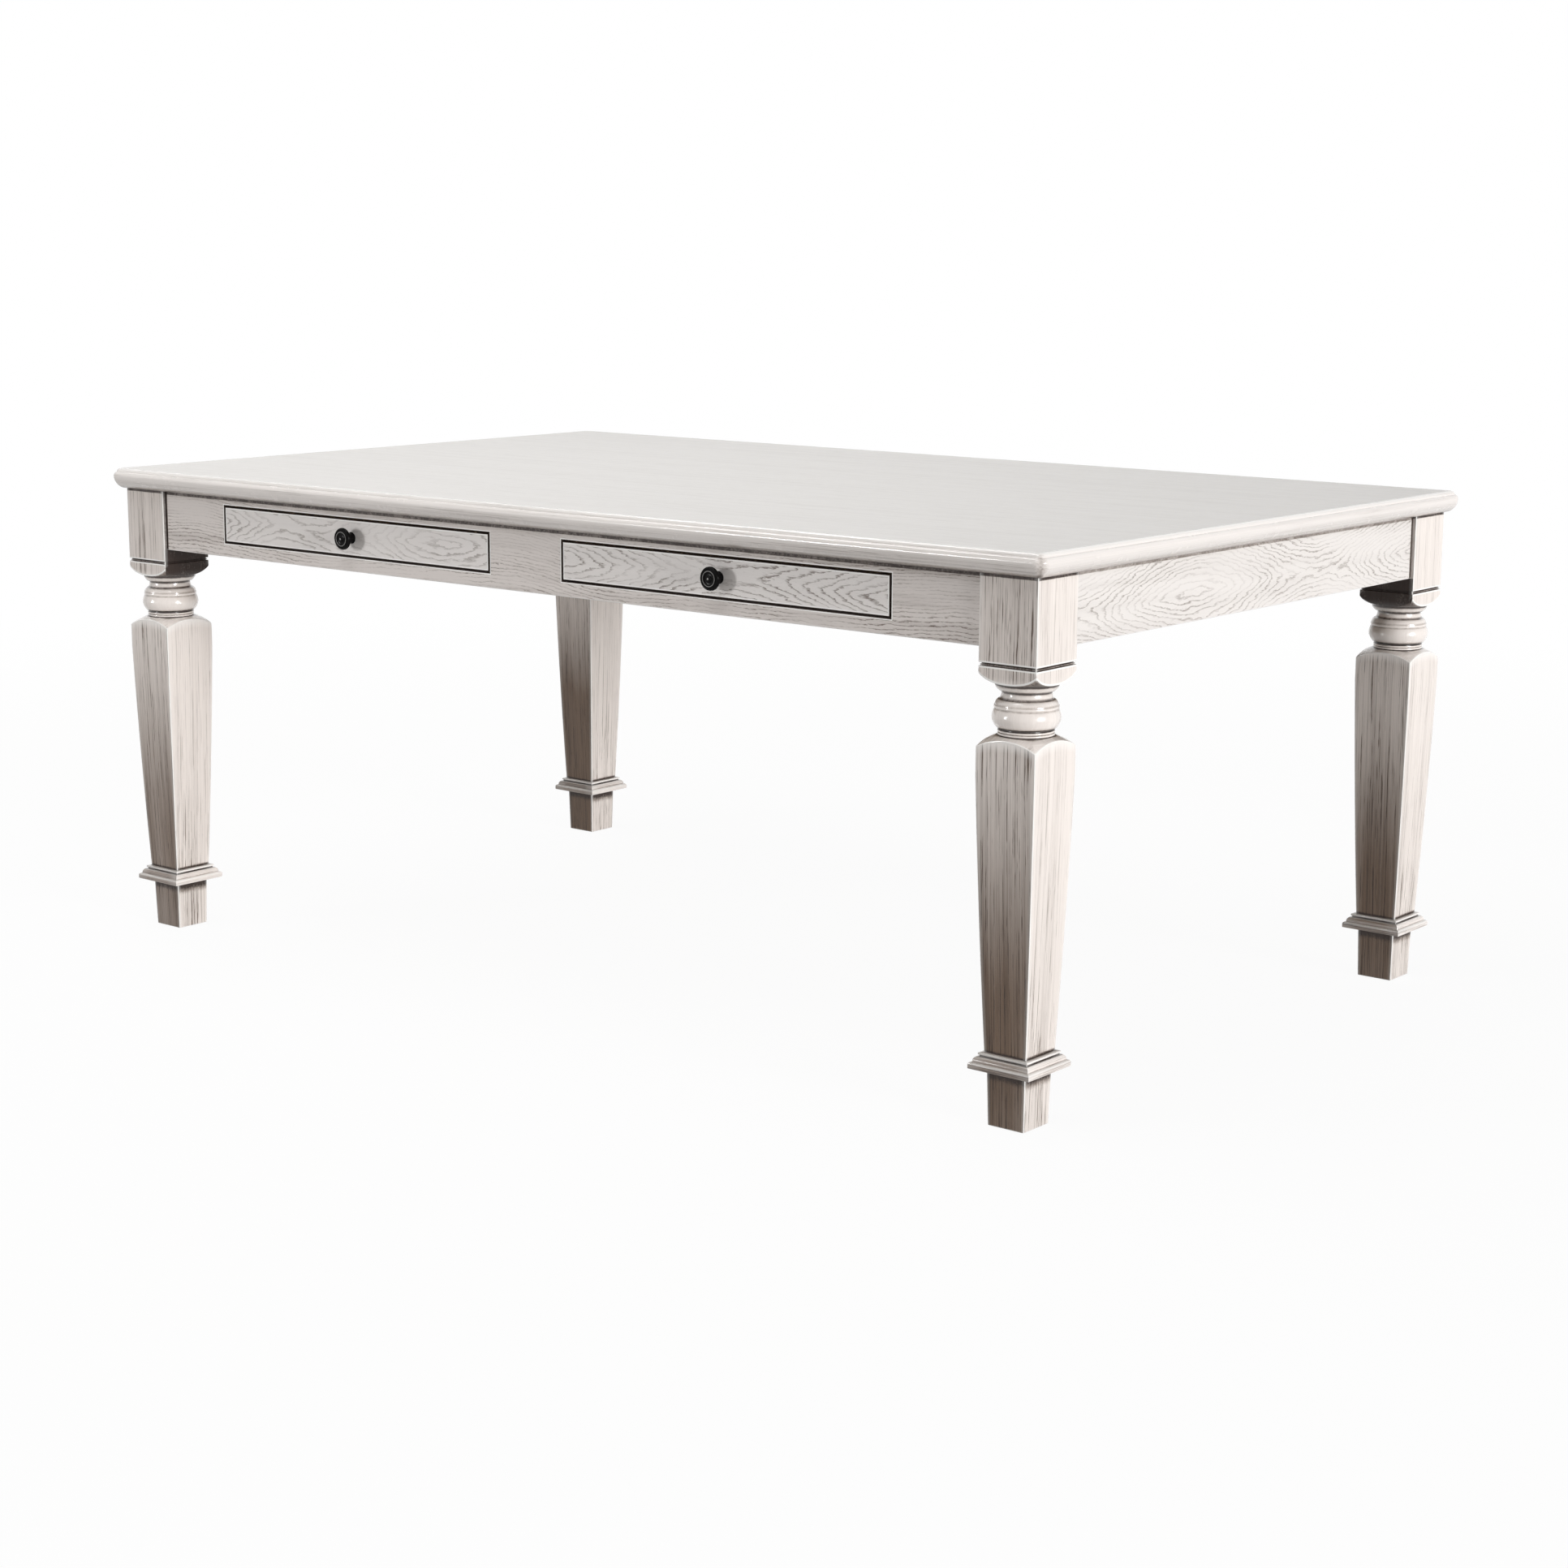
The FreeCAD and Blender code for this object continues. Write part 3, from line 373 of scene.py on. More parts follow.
def whitewash():
    """White wash over grain, with glazing and painted shade in the hollows, creases and gaps, a brown wash
    that is partly painted shade, a painted highlight with some paint wear on the edges, and bare wood where
    it stops.
    """
    graph, given, put = new_group("whitewash", {
        "Vector": "Vector", "Ring": 0.0, "Pores": 0.0, "Tone": 0.0,
        "Ring Strength": 0.2, "Pore Strength": 0.6, "Tone Strength": 0.2,
        "Patina": 0.0, "Glaze": 0.0, "Arris": 0.0, "Bare": 0.0, "Gloss": 0.0,
        "Paint": "Color", "Grain": "Color", "Patina Colour": "Color", "Glaze Colour": "Color",
        "Arris Colour": "Color", "Bare Colour": "Color",
    }, {"Color": "Color", "Roughness": "Float", "Height": "Float"})
    cloud = graph.noise(given["Vector"], (35.0, 35.0, 35.0), 3.0, 0.6)
    speck = graph.noise(given["Vector"], (260.0, 260.0, 260.0), 2.0, 0.6)
    rings = graph.times(given["Ring"], given["Ring Strength"])
    pores = graph.times(given["Pores"], given["Pore Strength"])
    streaks = graph.times(graph.sum(given["Tone"], 0.04), given["Tone Strength"])
    darkness = graph.sum(rings, pores, streaks, graph.times(cloud, 0.05), clamp=True)
    patches = graph.ramp(graph.sum(cloud, speck), -0.3, 0.25, 0.75, 1.15)
    # Glazing and painted shade from the glaze value, and a brown wash that is partly painted shade.
    patchy = graph.times(given["Glaze"], patches, clamp=True)
    uneven = graph.times(given["Patina"], graph.ramp(given["Tone"], -0.2, 0.2, 0.85, 1.1))
    haze = graph.larger(uneven, graph.ramp(patchy, 0.0, 0.5, 0.0, 0.65))
    stained_and_shaded = graph.blend(haze, given["Paint"], given["Patina Colour"])
    pore_colour = graph.blend(graph.times(given["Patina"], 0.85), given["Grain"], given["Glaze Colour"])
    washed = graph.blend(darkness, stained_and_shaded, pore_colour)
    glazed_and_shaded = graph.blend(graph.ramp(patchy, 0.2, 0.85), washed, given["Glaze Colour"])
    # A painted highlight with some paint wear along the arrises.
    rubbing_and_highlight = graph.times(given["Arris"], graph.ramp(speck, -0.35, 0.0, 0.8, 1.0), clamp=True)
    rubbed_and_highlit = graph.blend(rubbing_and_highlight, glazed_and_shaded, given["Arris Colour"])
    put("Color", graph.blend(given["Bare"], rubbed_and_highlit, given["Bare Colour"]))
    rough = graph.sum(graph.times(given["Pores"], 0.25), graph.times(cloud, 0.10), 0.40)
    glossy = graph.times(patchy, 0.15), graph.times(given["Gloss"], -0.16)
    put("Roughness", graph.sum(rough, *glossy, clamp=True))
    sunk = graph.sum(graph.times(given["Pores"], 0.8), graph.times(given["Ring"], 0.2))
    put("Height", graph.minus(1.0, sunk))
    return graph.tree


def rectangle_edge():
    """How far a point lies outside a rectangle that faces along Y."""
    graph, given, put = new_group("rectangle_edge", {
        "Vector": "Vector", "Centre": "Vector", "Half Size": "Vector"}, {"Distance": "Float"})
    away = graph.vector("ABSOLUTE", graph.vector("SUBTRACT", given["Vector"], given["Centre"]))
    past = graph.parts(graph.vector("SUBTRACT", away, given["Half Size"]))
    put("Distance", graph.larger(past[0], past[2]))
    return graph.tree


def empty_material(name):
    material = bpy.data.materials.new(name)
    material.use_nodes = True
    graph = Graph(material.node_tree)
    shader = next(node for node in material.node_tree.nodes if node.type == "BSDF_PRINCIPLED")
    return material, graph, shader


TURNS = {
    "X": (0, 0, 0),
    "Y": (0, 0, -math.pi / 2),
    "Z": (0, math.pi / 2, 0),
    "X on edge": (-math.pi / 2, 0, 0),
    "Y on edge": (math.pi / 2, math.pi / 2, 0),
}


def grain_place(graph, way, centre):
    """Object coordinates, and the same about the centre, turned so that grain of the given way lies along X.

    Pieces whose own attribute lays out their grain face by face are read from that instead.
    """
    coordinates = graph.object_place()
    if way == "own":
        return coordinates, graph.attribute("grain", "Vector")
    about = graph.vector("SUBTRACT", coordinates, tuple(centre))
    mapping = graph.add("ShaderNodeMapping", {"Vector": about, "Rotation": TURNS[way]})
    return coordinates, mapping.outputs[0]


def rgba(values):
    return (*values, 1.0)


def cathedral(eye, spacing, rings, crest, across, wander):
    """Flat-sawn grain and its settings, for white_oak."""
    return "oak_cathedral", {
        "Eye": eye, "Eye Spacing": spacing, "Eye Rings": rings, "Crest": crest,
        "Rings Across": across, "Wander": wander}


def rift(coarse, broad=1.0):
    """Rift-sawn grain and its settings, for white_oak."""
    return "oak_rift", {"Coarse": coarse, "Broad": broad}


def white_oak(name, way, centre, seed, oak, strength, masks=None, paint=None, depth=0.0001):
    """Antique white oak. oak is a grain group and its settings, and masks gives the wash its other inputs."""
    finish = bpy.context.scene.table_finish
    material, graph, shader = empty_material(name)
    coordinates, place = grain_place(graph, way, centre)
    kind, settings = oak
    grain = graph.group(kind, {"Vector": place, "Seed": seed, **settings}).outputs
    values = {
        "Vector": place, "Ring": grain["Ring"], "Pores": grain["Pores"], "Tone": grain["Tone"],
        "Ring Strength": strength[0], "Pore Strength": strength[1], "Tone Strength": strength[2],
        "Paint": rgba(paint or finish.paint), "Grain": rgba(finish.grain),
        "Patina Colour": rgba(finish.patina), "Glaze Colour": rgba(finish.glaze),
        "Arris Colour": rgba(finish.arris), "Bare Colour": rgba(finish.inner_wood),
    }
    values.update(masks(graph, coordinates, values) if masks else {})
    wash = graph.group("whitewash", values).outputs
    bump = graph.bump(wash["Height"], depth, 0.6)
    gloss = values.get("Gloss", 0.0)
    if isinstance(gloss, float):
        coat = 0.08 + 0.7 * gloss
    else:
        coat = graph.sum(graph.times(gloss, 0.92), 0.08)
    graph.fill(shader, {
        "Base Color": wash["Color"], "Roughness": wash["Roughness"], "Normal": bump,
        "Specular IOR Level": 0.35, "Coat Weight": coat, "Coat Roughness": 0.10})
    return material


def plain_wood(name, way, centre, seed, base, dark, rough=0.55):
    """Unpainted wood, as inside the drawers."""
    material, graph, shader = empty_material(name)
    place = grain_place(graph, way, centre)[1]
    oak = graph.group("oak_cathedral", {
        "Vector": place, "Seed": seed, "Rings Across": 300.0, "Eye Rings": 2.0, "Wander": 2.0}).outputs
    amount = graph.sum(
        graph.times(oak["Ring"], 0.35), graph.times(oak["Pores"], 0.3), graph.times(oak["Tone"], 0.5),
        clamp=True)
    graph.fill(shader, {
        "Base Color": graph.blend(amount, rgba(base), rgba(dark)),
        "Roughness": graph.sum(graph.times(oak["Pores"], 0.2), rough),
        "Normal": graph.bump(graph.minus(1.0, oak["Pores"]), 0.0001, 0.5)})
    return material


def metal(name, base, rough, metallic, scratch, specular=0.5, worn=None):
    """Metal with fine scratches and a little unevenness, in a lighter colour where an attribute marks a
    painted highlight with some wear.
    """
    material, graph, shader = empty_material(name)
    place = graph.object_place()
    cloud = graph.noise(place, (180.0, 180.0, 180.0), 3.0)
    lines = graph.noise(place, (500.0, 2600.0, 700.0), 2.0)
    shade = graph.add("ShaderNodeVectorMath", {
        0: tuple(base), "Scale": graph.ramp(cloud, -0.3, 0.3, 0.82, 1.15)}, operation="SCALE").outputs[0]
    if worn:
        shade = graph.blend(graph.times(graph.attribute("worn"), 0.9), shade, rgba(worn))
    graph.fill(shader, {
        "Base Color": shade, "Roughness": graph.sum(graph.times(cloud, 0.25), rough), "Metallic": metallic,
        "Specular IOR Level": specular, "Normal": graph.bump(lines, scratch, 0.4)})
    return material


# Mesh helpers

def arc(start, end, bulge, count):
    """Points after start, as (across, up), on an arc to end that swells by bulge to the right of the way."""
    a, b = Vector(start), Vector(end)
    chord = b - a
    if abs(bulge) < 1e-9:
        return [tuple(a.lerp(b, (index + 1) / count)) for index in range(count)]
    side = Vector((chord.y, -chord.x)).normalized()
    half = chord.length / 2
    radius = (half * half + bulge * bulge) / (2 * abs(bulge))
    sign = 1 if bulge > 0 else -1
    centre = (a + b) / 2 + side * (bulge - sign * radius)
    from_angle = math.atan2(*reversed(a - centre))
    to_angle = math.atan2(*reversed(b - centre))
    swing = (to_angle - from_angle + math.pi) % (2 * math.pi) - math.pi
    points = []
    for index in range(count):
        angle = from_angle + swing * (index + 1) / count
        points.append((centre.x + radius * math.cos(angle), centre.y + radius * math.sin(angle)))
    return points


def height_where(points, radius):
    """The height at which a line of (radius, height) points reaches a radius."""
    for (r0, z0), (r1, z1) in zip(points, points[1:]):
        if min(r0, r1) <= radius <= max(r0, r1) and r0 != r1:
            return z0 + (z1 - z0) * (radius - r0) / (r1 - r0)
    nearest = min(points, key=lambda spot: abs(spot[0] - radius))
    return nearest[1]


def stack_rings(rings, closed_path=False):
    """A mesh extruded ring by ring. Each ring holds (place, glazing and painted shade, arris highlight) for
    each of its points.
    """
    mesh = bmesh.new()
    glaze = mesh.verts.layers.float.new("glaze")
    arris = mesh.verts.layers.float.new("arris")
    made = bmesh.ops.create_circle(mesh, segments=len(rings[0]), radius=1.0)
    ring = made["verts"]
    edges = list(mesh.edges)

    def settle(verts, ring_places):
        for vert, (place, glaze_and_shade_value, arris_value) in zip(verts, ring_places):
            vert.co = place
            vert[glaze] = glaze_and_shade_value
            vert[arris] = arris_value

    settle(ring, rings[0])
    first = list(ring)
    for places in rings[1:]:
        grown = bmesh.ops.extrude_edge_only(mesh, edges=edges)["geom"]
        fresh = {item for item in grown if isinstance(item, bmesh.types.BMVert)}
        edges = [item for item in grown
                 if isinstance(item, bmesh.types.BMEdge) and all(vert in fresh for vert in item.verts)]
        ring = [next(edge.other_vert(vert) for edge in vert.link_edges if edge.other_vert(vert) in fresh)
                for vert in ring]
        settle(ring, places)
    if not closed_path:
        bmesh.ops.contextual_create(mesh, geom=first)
        bmesh.ops.contextual_create(mesh, geom=ring)
    return mesh


def add_object(name, data):
    made = bpy.data.objects.new(name, data)
    bpy.context.scene.collection.objects.link(made)
    return made


def mesh_object(mesh, name):
    """An object of a bmesh, which is freed."""
    data = bpy.data.meshes.new(name)
    mesh.to_mesh(data)
    mesh.free()
    return add_object(name, data)


def turn_mesh(mesh, degrees):
    turn = Matrix.Rotation(math.radians(degrees), 3, "Z")
    bmesh.ops.rotate(mesh, verts=mesh.verts, cent=(0, 0, 0), matrix=turn)


def finish_mesh(mesh, name, sharp=35.0):
    """Makes an object of a bmesh, with normals outwards and edges sharp past an angle in degrees."""
    bmesh.ops.remove_doubles(mesh, verts=mesh.verts, dist=1e-6)
    bmesh.ops.recalc_face_normals(mesh, faces=mesh.faces)
    for face in mesh.faces:
        face.smooth = True
    for edge in mesh.edges:
        if len(edge.link_faces) == 2 and edge.calc_face_angle(0) > math.radians(sharp):
            edge.smooth = False
    piece = mesh_object(mesh, name)
    weigh = piece.modifiers.new("even_normals", "WEIGHTED_NORMAL")
    weigh.keep_sharp = True
    return piece


def square_columns(count):
    """The columns round a rounded square, as (side, kind, share along the side or of the corner's turn)."""
    columns = []
    for side in range(4):
        for index in range(count):
            columns.append((side, "flat", -1 + 2 * index / (count - 1)))
        for share in (0.25, 0.5, 0.75):
            columns.append((side, "turn", share))
    return columns


def square_ring(columns, half, rounding):
    """Points round a rounded square, as (x, y, arris), where the arris is a painted highlight with some paint
    wear, full on the rounded corners and a quarter at the ends of the flat sides.
    """
    points = []
    for side, kind, share in columns:
        angle = side * math.pi / 2
        if kind == "flat":
            x, y, worn = half, share * (half - rounding), 0.25 if abs(share) == 1 else 0.0
        else:
            turn = share * math.pi / 2
            x = half - rounding + rounding * math.cos(turn)
            y = half - rounding + rounding * math.sin(turn)
            worn = 1.0
        cosine, sine = math.cos(angle), math.sin(angle)
        points.append((x * cosine - y * sine, x * sine + y * cosine, worn))
    return points


# Legs

NECK_RADIUS = 0.0362
NECK_START_GLAZE_AND_SHADE = 0.9
# Radius, rise, bulge and the glazing and painted shade at the end of each step of the neck, from the dome up
# to the lip
NECK_STEPS = (
    (0.0362, 0.0038, 0.0009, 0.5),
    (0.0362, 0.0038, 0.0009, 0.9),
    (0.0348, 0.0, 0.0, 1.0),
    (0.0348, 0.0018, 0.0, 1.0),
    (0.0380, 0.0, 0.0, 1.0),
    (0.0448, 0.0135, 0.0015, 0.0),
    (0.0414, 0.0119, 0.0008, 0.3),
    (0.0416, 0.0, 0.0, 0.3),
    (0.0416, 0.0044, 0.0006, 0.3),
    (0.0414, 0.0, 0.0, 0.3),
    (0.0348, 0.0082, 0.0016, 0.6),
    (0.0327, 0.0101, -0.0007, 1.0),
    (0.0356, 0.0, 0.0, 1.0),
    (0.0417, 0.0095, 0.0015, 1.0),
)
# The share of the foot's height, with its painted shadow under the ankle moulding, and the glazing and
# painted shade of each ring on the dome
FOOT_PAINTED_SHADOW = (
    (0.15, 0.0), (0.4, 0.0), (0.62, 0.0), (0.72, 0.15), (0.80, 0.4), (0.86, 0.75), (0.92, 1.0), (1.0, 1.0))
DOME_GLAZE_AND_SHADE = (0.04,) * 7 + (0.25, 0.5, 1.0)
# Painted shade on the inner sides of the posts below the aprons.
INNER_PAINTED_SHADE = 0.92
TAPER_RINGS = 30
SHOULDER_RINGS = 8
BLOCK_RINGS = 5
ARC_POINTS = 40


def glaze_and_shade_near_crease(glaze, distance, reach):
    """Glazing and painted shade at a distance from a crease: full close to it, then a haze out to 4.5 times
    the reach.
    """
    return glaze * max(0.0, 0.34 * (1 - distance / (reach * 4.5)), min(1.0, 1.8 - distance / reach))


def painted_shade_behind_apron(side, share):
    """Painted shade on a post's two inner sides behind the aprons, less where they meet its outer sides."""
    if side == 2:
        return 0.55 if share == -1 else INNER_PAINTED_SHADE
    return 0.0 if share == 1 else 0.35


class LegRings:
    """The rings of a leg from the floor up. Each ring holds (place, glazing and painted shade, arris
    highlight) for each of its points.
    """

    def __init__(self, leg):
        self.leg = leg
        self.rings = []
        self.blur = leg.arris * 0.7
        self.post = leg.post_width / 2
        self.shaft = leg.shaft_width / 2
        self.taper_top = leg.dome_top - leg.dome_height - leg.straight_height
        self.columns = square_columns(leg.columns)
        self.inner = [INNER_PAINTED_SHADE if side == 2 or (side == 3 and kind == "flat") else 0.0
                      for side, kind, _ in self.columns]
        self.above = [painted_shade_behind_apron(side, share) if hidden else 0.0
                      for (side, _, share), hidden in zip(self.columns, self.inner)]

    def square(self, z, half, glaze=0.0, arris=0.0):
        """A square ring, with painted shade on its inner sides above the dome, its inner corner cut by the
        aprons.
        """
        leg = self.leg
        behind_apron = z > leg.apron_bottom
        side_glaze_and_shade = self.above if behind_apron else self.inner
        if z <= leg.dome_top:
            side_glaze_and_shade = [0.0] * len(self.columns)
        limit = leg.post_width - leg.chamfer
        places = []
        for (x, y, worn), hidden in zip(square_ring(self.columns, half, leg.arris), side_glaze_and_shade):
            past = -(x + y) - limit
            if behind_apron and past > 0:
                x += past / 2
                y += past / 2
            places.append((Vector((x, y, z)), max(glaze, hidden), max(arris * (hidden < 0.5), worn)))
        self.rings.append(places)

    def turned(self, radius, z, glaze):
        places = []
        for x, y, _ in square_ring(self.columns, 1.0, 0.03):
            reach = math.hypot(x, y)
            places.append((Vector((x * radius / reach, y * radius / reach, z)), glaze, 0.0))
        self.rings.append(places)

    def curved(self, outline, find, wear_and_highlight_corners=False):
        """A ring of which find gives the radius, z, glazing and painted shade, and arris highlight at a
        distance from the axis.
        """
        places = []
        for (x, y, worn), hidden in zip(outline, self.inner):
            reach = math.hypot(x, y)
            radius, z, glaze, arris = find(reach)
            if z > self.leg.dome_top and hidden:
                glaze, arris = max(glaze, hidden), 0.0
            scale = radius / reach
            corner = worn if wear_and_highlight_corners or arris >= 0.3 else 0.0
            places.append((Vector((x * scale, y * scale, z)), glaze, max(arris, corner)))
        self.rings.append(places)

    def stepped(self, z, inner, upward):
        """Rings at a step out to the post, with painted shade in the step and its outer edge eased, carrying
        a painted highlight with some paint wear.
        """
        ease = self.leg.arris * 0.4
        steps = [(0, inner, 1.0, 0.0), (0, self.post - ease, 0.6, 0.0), (1, self.post, 0.0, 0.95),
                 (4, self.post, 0.0, 0.9), (6, self.post, 0.0, 0.0)]
        away = ease if upward else -ease
        for eases, half, glaze, arris in steps if upward else reversed(steps):
            self.square(z + away * eases, half, glaze, arris)

    def add_foot(self):
        leg = self.leg
        low, high = leg.foot_bottom_width / 2, leg.foot_top_width / 2
        ease = leg.arris * 0.5
        # A painted highlight along the foot's bottom edge.
        self.square(leg.foot_lift, low - ease)
        self.square(leg.foot_lift + ease, low, 0, 0.3)
        self.square(leg.foot_lift + ease * 3, low)
        # The top of the foot darkens under the ankle moulding as painted shadow.
        for share, glaze in FOOT_PAINTED_SHADOW:
            z = leg.foot_lift + (leg.foot_height - leg.foot_lift) * share
            self.square(z, low + (high - low) * share, glaze)

    def add_taper(self):
        """The seat of the ankle moulding and the shaft above it, which swells a little."""
        leg = self.leg
        seat = leg.shaft_foot_width / 2
        widening = self.shaft - seat
        ankle_top = leg.foot_height + leg.ankle_height
        rise = self.taper_top - ankle_top
        self.square(leg.foot_height, seat)
        # Painted shade in the crease above the ankle moulding.
        self.square(ankle_top, seat, 0.95)
        for above, glaze in ((0.0014, 0.8), (0.0040, 0.2)):
            self.square(ankle_top + above, seat + widening * above / rise, glaze)
        for index in range(1, TAPER_RINGS + 1):
            share = index / TAPER_RINGS
            half = seat + widening * share + 4 * leg.shaft_swell * share * (1 - share)
            self.square(ankle_top + rise * share, half)

    def add_dome(self):
        leg, blur, low = self.leg, self.blur, self.taper_top
        line = [(self.shaft * ROOT_TWO, leg.dome_top - leg.dome_height)]
        line += arc(line[0], (leg.dome_radius, leg.dome_top), leg.dome_bulge, ARC_POINTS)
        outline = square_ring(self.columns, self.shaft, leg.arris)
        # A painted highlight with some paint wear along the dome's lower edge.
        for share in (0.35, 0.7):
            self.curved(outline, lambda reach: (
                reach, low + (height_where(line, reach) - blur - low) * share, 0.0, 0.0), wear_and_highlight_corners=True)
        self.curved(outline, lambda reach: (reach, height_where(line, reach) - blur, 0.0, 0.5))
        self.curved(outline, lambda reach: (
            reach - blur * 0.22, height_where(line, reach) - blur * 0.12, 0.0, 1.0))
        self.curved(outline, lambda reach: (reach - blur, height_where(line, reach - blur), 0.0, 0.5))
        # Glazing and painted shade on the dome towards the neck.
        for index, glaze in enumerate(DOME_GLAZE_AND_SHADE):
            share = (index + 1) / len(DOME_GLAZE_AND_SHADE)

            def on_dome(reach):
                radius = (reach - blur) + (leg.dome_radius - reach + blur) * share
                return radius, height_where(line, radius), glaze, 0.0

            self.curved(outline, on_dome)

    def add_neck(self):
        """The turned neck, with glazing and painted shade in its creases. Gives the radius and height of its
        upper end.
        """
        radius, z, before = NECK_RADIUS, self.leg.dome_top, NECK_START_GLAZE_AND_SHADE
        self.turned(radius, z, before)
        for step_radius, rise, bulge, glaze in NECK_STEPS:
            count = 10 if bulge else 1
            run = math.hypot(rise, step_radius - radius)
            reach = min(0.0017, run * 0.16)
            for index, (across, up) in enumerate(arc((radius, z), (step_radius, z + rise), bulge, count)):
                share = (index + 1) / count
                below = glaze_and_shade_near_crease(before, share * run, reach)
                self.turned(across, up, max(below, glaze_and_shade_near_crease(glaze, (1 - share) * run, reach)))
            radius, z, before = step_radius, z + rise, glaze
        return radius, z

    def add_shoulder(self, start, z):
        """From the round neck out to the square lip. Gives the height of the lip's lower corners."""
        leg, blur = self.leg, self.blur
        lip_low = z + leg.shoulder_height
        line = [(start, z)]
        line += arc(line[0], (self.post * ROOT_TWO, lip_low), leg.shoulder_bulge, ARC_POINTS)
        outline = square_ring(self.columns, self.post, leg.arris)
        # Painted shade under the lip, and a painted highlight with some paint wear along its lower edge.
        for index in range(1, SHOULDER_RINGS + 1):
            share = index / SHOULDER_RINGS

            def under_lip(reach):
                radius = start + (reach - blur - start) * share
                glaze = 0.50 + 0.50 * max(0.0, 1 - share * 1.1)
                return radius, height_where(line, radius), glaze, 0.4 if share == 1 else 0.0

            self.curved(outline, under_lip)
        self.curved(outline, lambda reach: (
            reach - blur * 0.22, height_where(line, reach) + blur * 0.12, 0.0, 1.0))
        for rise, arris in ((0.0, 1.0), (0.0012, 0.9), (0.0020, 0.0)):
            self.curved(outline, lambda reach: (reach, height_where(line, reach) + blur + rise, 0.0, arris))
        return lip_low

    def add_groove(self, low):
        """The groove above the lip, with a fillet inside it."""
        leg = self.leg
        floor = self.post - leg.groove_depth
        fillet = floor + leg.groove_depth * 0.5
        self.stepped(low, floor, upward=False)
        # Painted shade in the groove, lighter on its fillet.
        for share, half, glaze in (
                (0.24, floor, 1.0), (0.26, fillet - 0.0003, 0.6), (0.31, fillet, 0.45),
                (0.47, fillet, 0.45), (0.52, fillet - 0.0004, 0.6), (0.54, floor, 1.0)):
            self.square(low + leg.groove_height * share, half, glaze)
        self.stepped(low + leg.groove_height, floor, upward=True)

    def add_block(self, low):
        """The square block behind the aprons, with painted shadow in the crease under the top."""
        leg = self.leg
        under_top = low + leg.post_height
        plain_top = under_top - 0.016
        self.square(leg.apron_bottom, self.post)
        self.square(leg.apron_bottom + 1e-5, self.post)
        for index in range(1, BLOCK_RINGS + 1):
            self.square(leg.apron_bottom + (plain_top - leg.apron_bottom) * index / BLOCK_RINGS, self.post)
        for below, glaze in ((0.0046, 0.1), (0.0034, 0.8), (0.0, 0.8)):
            self.square(under_top - below, self.post, glaze)


def leg_rings(leg):
    made = LegRings(leg)
    made.add_foot()
    made.add_taper()
    made.add_dome()
    lip_high = made.add_shoulder(*made.add_neck()) + leg.lip_height
    made.add_groove(lip_high)
    made.add_block(lip_high + leg.groove_height)
    return made.rings


def glaze_shade_and_highlight_masks(graph):
    # Glazing and painted shade in the creases, and a painted highlight with some paint wear on the arrises,
    # read from the mesh.
    return {"Glaze": graph.attribute("glaze"), "Arris": graph.attribute("arris")}


def leg_masks(graph, coordinates, values):
    """More brown wash towards the ankle, partly painted shade and scaled by each face's attribute, with
    weaker grain on the sides; little grain and more gloss on the turned neck, by height in metres.
    """
    neck_low, neck_high = (0.505, 0.518), (0.585, 0.60)
    patina_and_shade_high, patina_and_shade_low, patina_and_shade_foot = 0.52, 0.15, 0.1
    height = graph.parts(coordinates)[2]
    neck = graph.times(graph.ramp(height, *neck_low), graph.ramp(height, *neck_high, 1.0, 0.0))
    plain = graph.minus(1.0, graph.times(neck, 0.96))
    low = graph.times(graph.ramp(height, patina_and_shade_high, patina_and_shade_low, 0.12, 0.97),
                      graph.ramp(height, 0.0, patina_and_shade_foot, 0.95, 1.0))
    low = graph.times(low, graph.ramp(height, 0.502, 0.510, 1.0, 0.35))
    post = graph.ramp(height, 0.59, 0.60, 0.0, 0.15)
    brown = graph.attribute("patina")
    low = graph.times(graph.sum(low, post), brown)
    plain = graph.times(plain, graph.larger(
        graph.ramp(brown, 0.0, 1.0, 0.35, 1.0), graph.ramp(height, 0.25, 0.04, 0.35, 0.9)))
    plain = graph.times(plain, graph.ramp(height, 0.45, 0.15, 1.0, 1.6))
    return {
        "Ring Strength": graph.times(plain, values["Ring Strength"]),
        "Pore Strength": graph.times(plain, values["Pore Strength"]),
        "Patina": low,
        **glaze_shade_and_highlight_masks(graph),
        "Gloss": neck,
    }


def trim_masks(graph, coordinates, values):
    return {**glaze_shade_and_highlight_masks(graph), "Gloss": 0.9}


def ankle_masks(patina):
    def masks(graph, coordinates, values):
        return {"Patina": patina, **trim_masks(graph, coordinates, values)}
    return masks


def make_leg(name, side_x, side_y, turn):
    leg = bpy.context.scene.table_leg
    mesh = stack_rings(leg_rings(leg))
    centre = leg_centre(side_x, side_y)
    turn_mesh(mesh, turn)
    patina = mesh.verts.layers.float.new("patina")
    grain = mesh.verts.layers.float_vector.new("grain")
    for vert in mesh.verts:
        x, y, z = vert.co
        sideways = abs(x) > abs(y)
        # The front and back faces take the leg's brown wash and the sides little, which paints shade on the
        # front and back faces.
        vert[patina] = 0.12 if sideways else LEG_PATINA_AND_SHADE[name]
        across = y + math.copysign(0.3, x) if sideways else x + math.copysign(0.9, y)
        vert[grain] = (z, across, 0)
    bmesh.ops.translate(mesh, verts=mesh.verts, vec=centre)
    piece = finish_mesh(mesh, "turned_leg_" + name)
    piece.data.materials.append(white_oak(
        "leg_oak_" + name, "own", centre, 3.1 * (side_x + 2 * side_y + 4),
        rift(400.0, 0.6), (0.23, 0.75, 0.38), leg_masks, bpy.context.scene.table_finish.leg_paint))
    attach(piece, "table")
    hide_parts("leg_" + name)


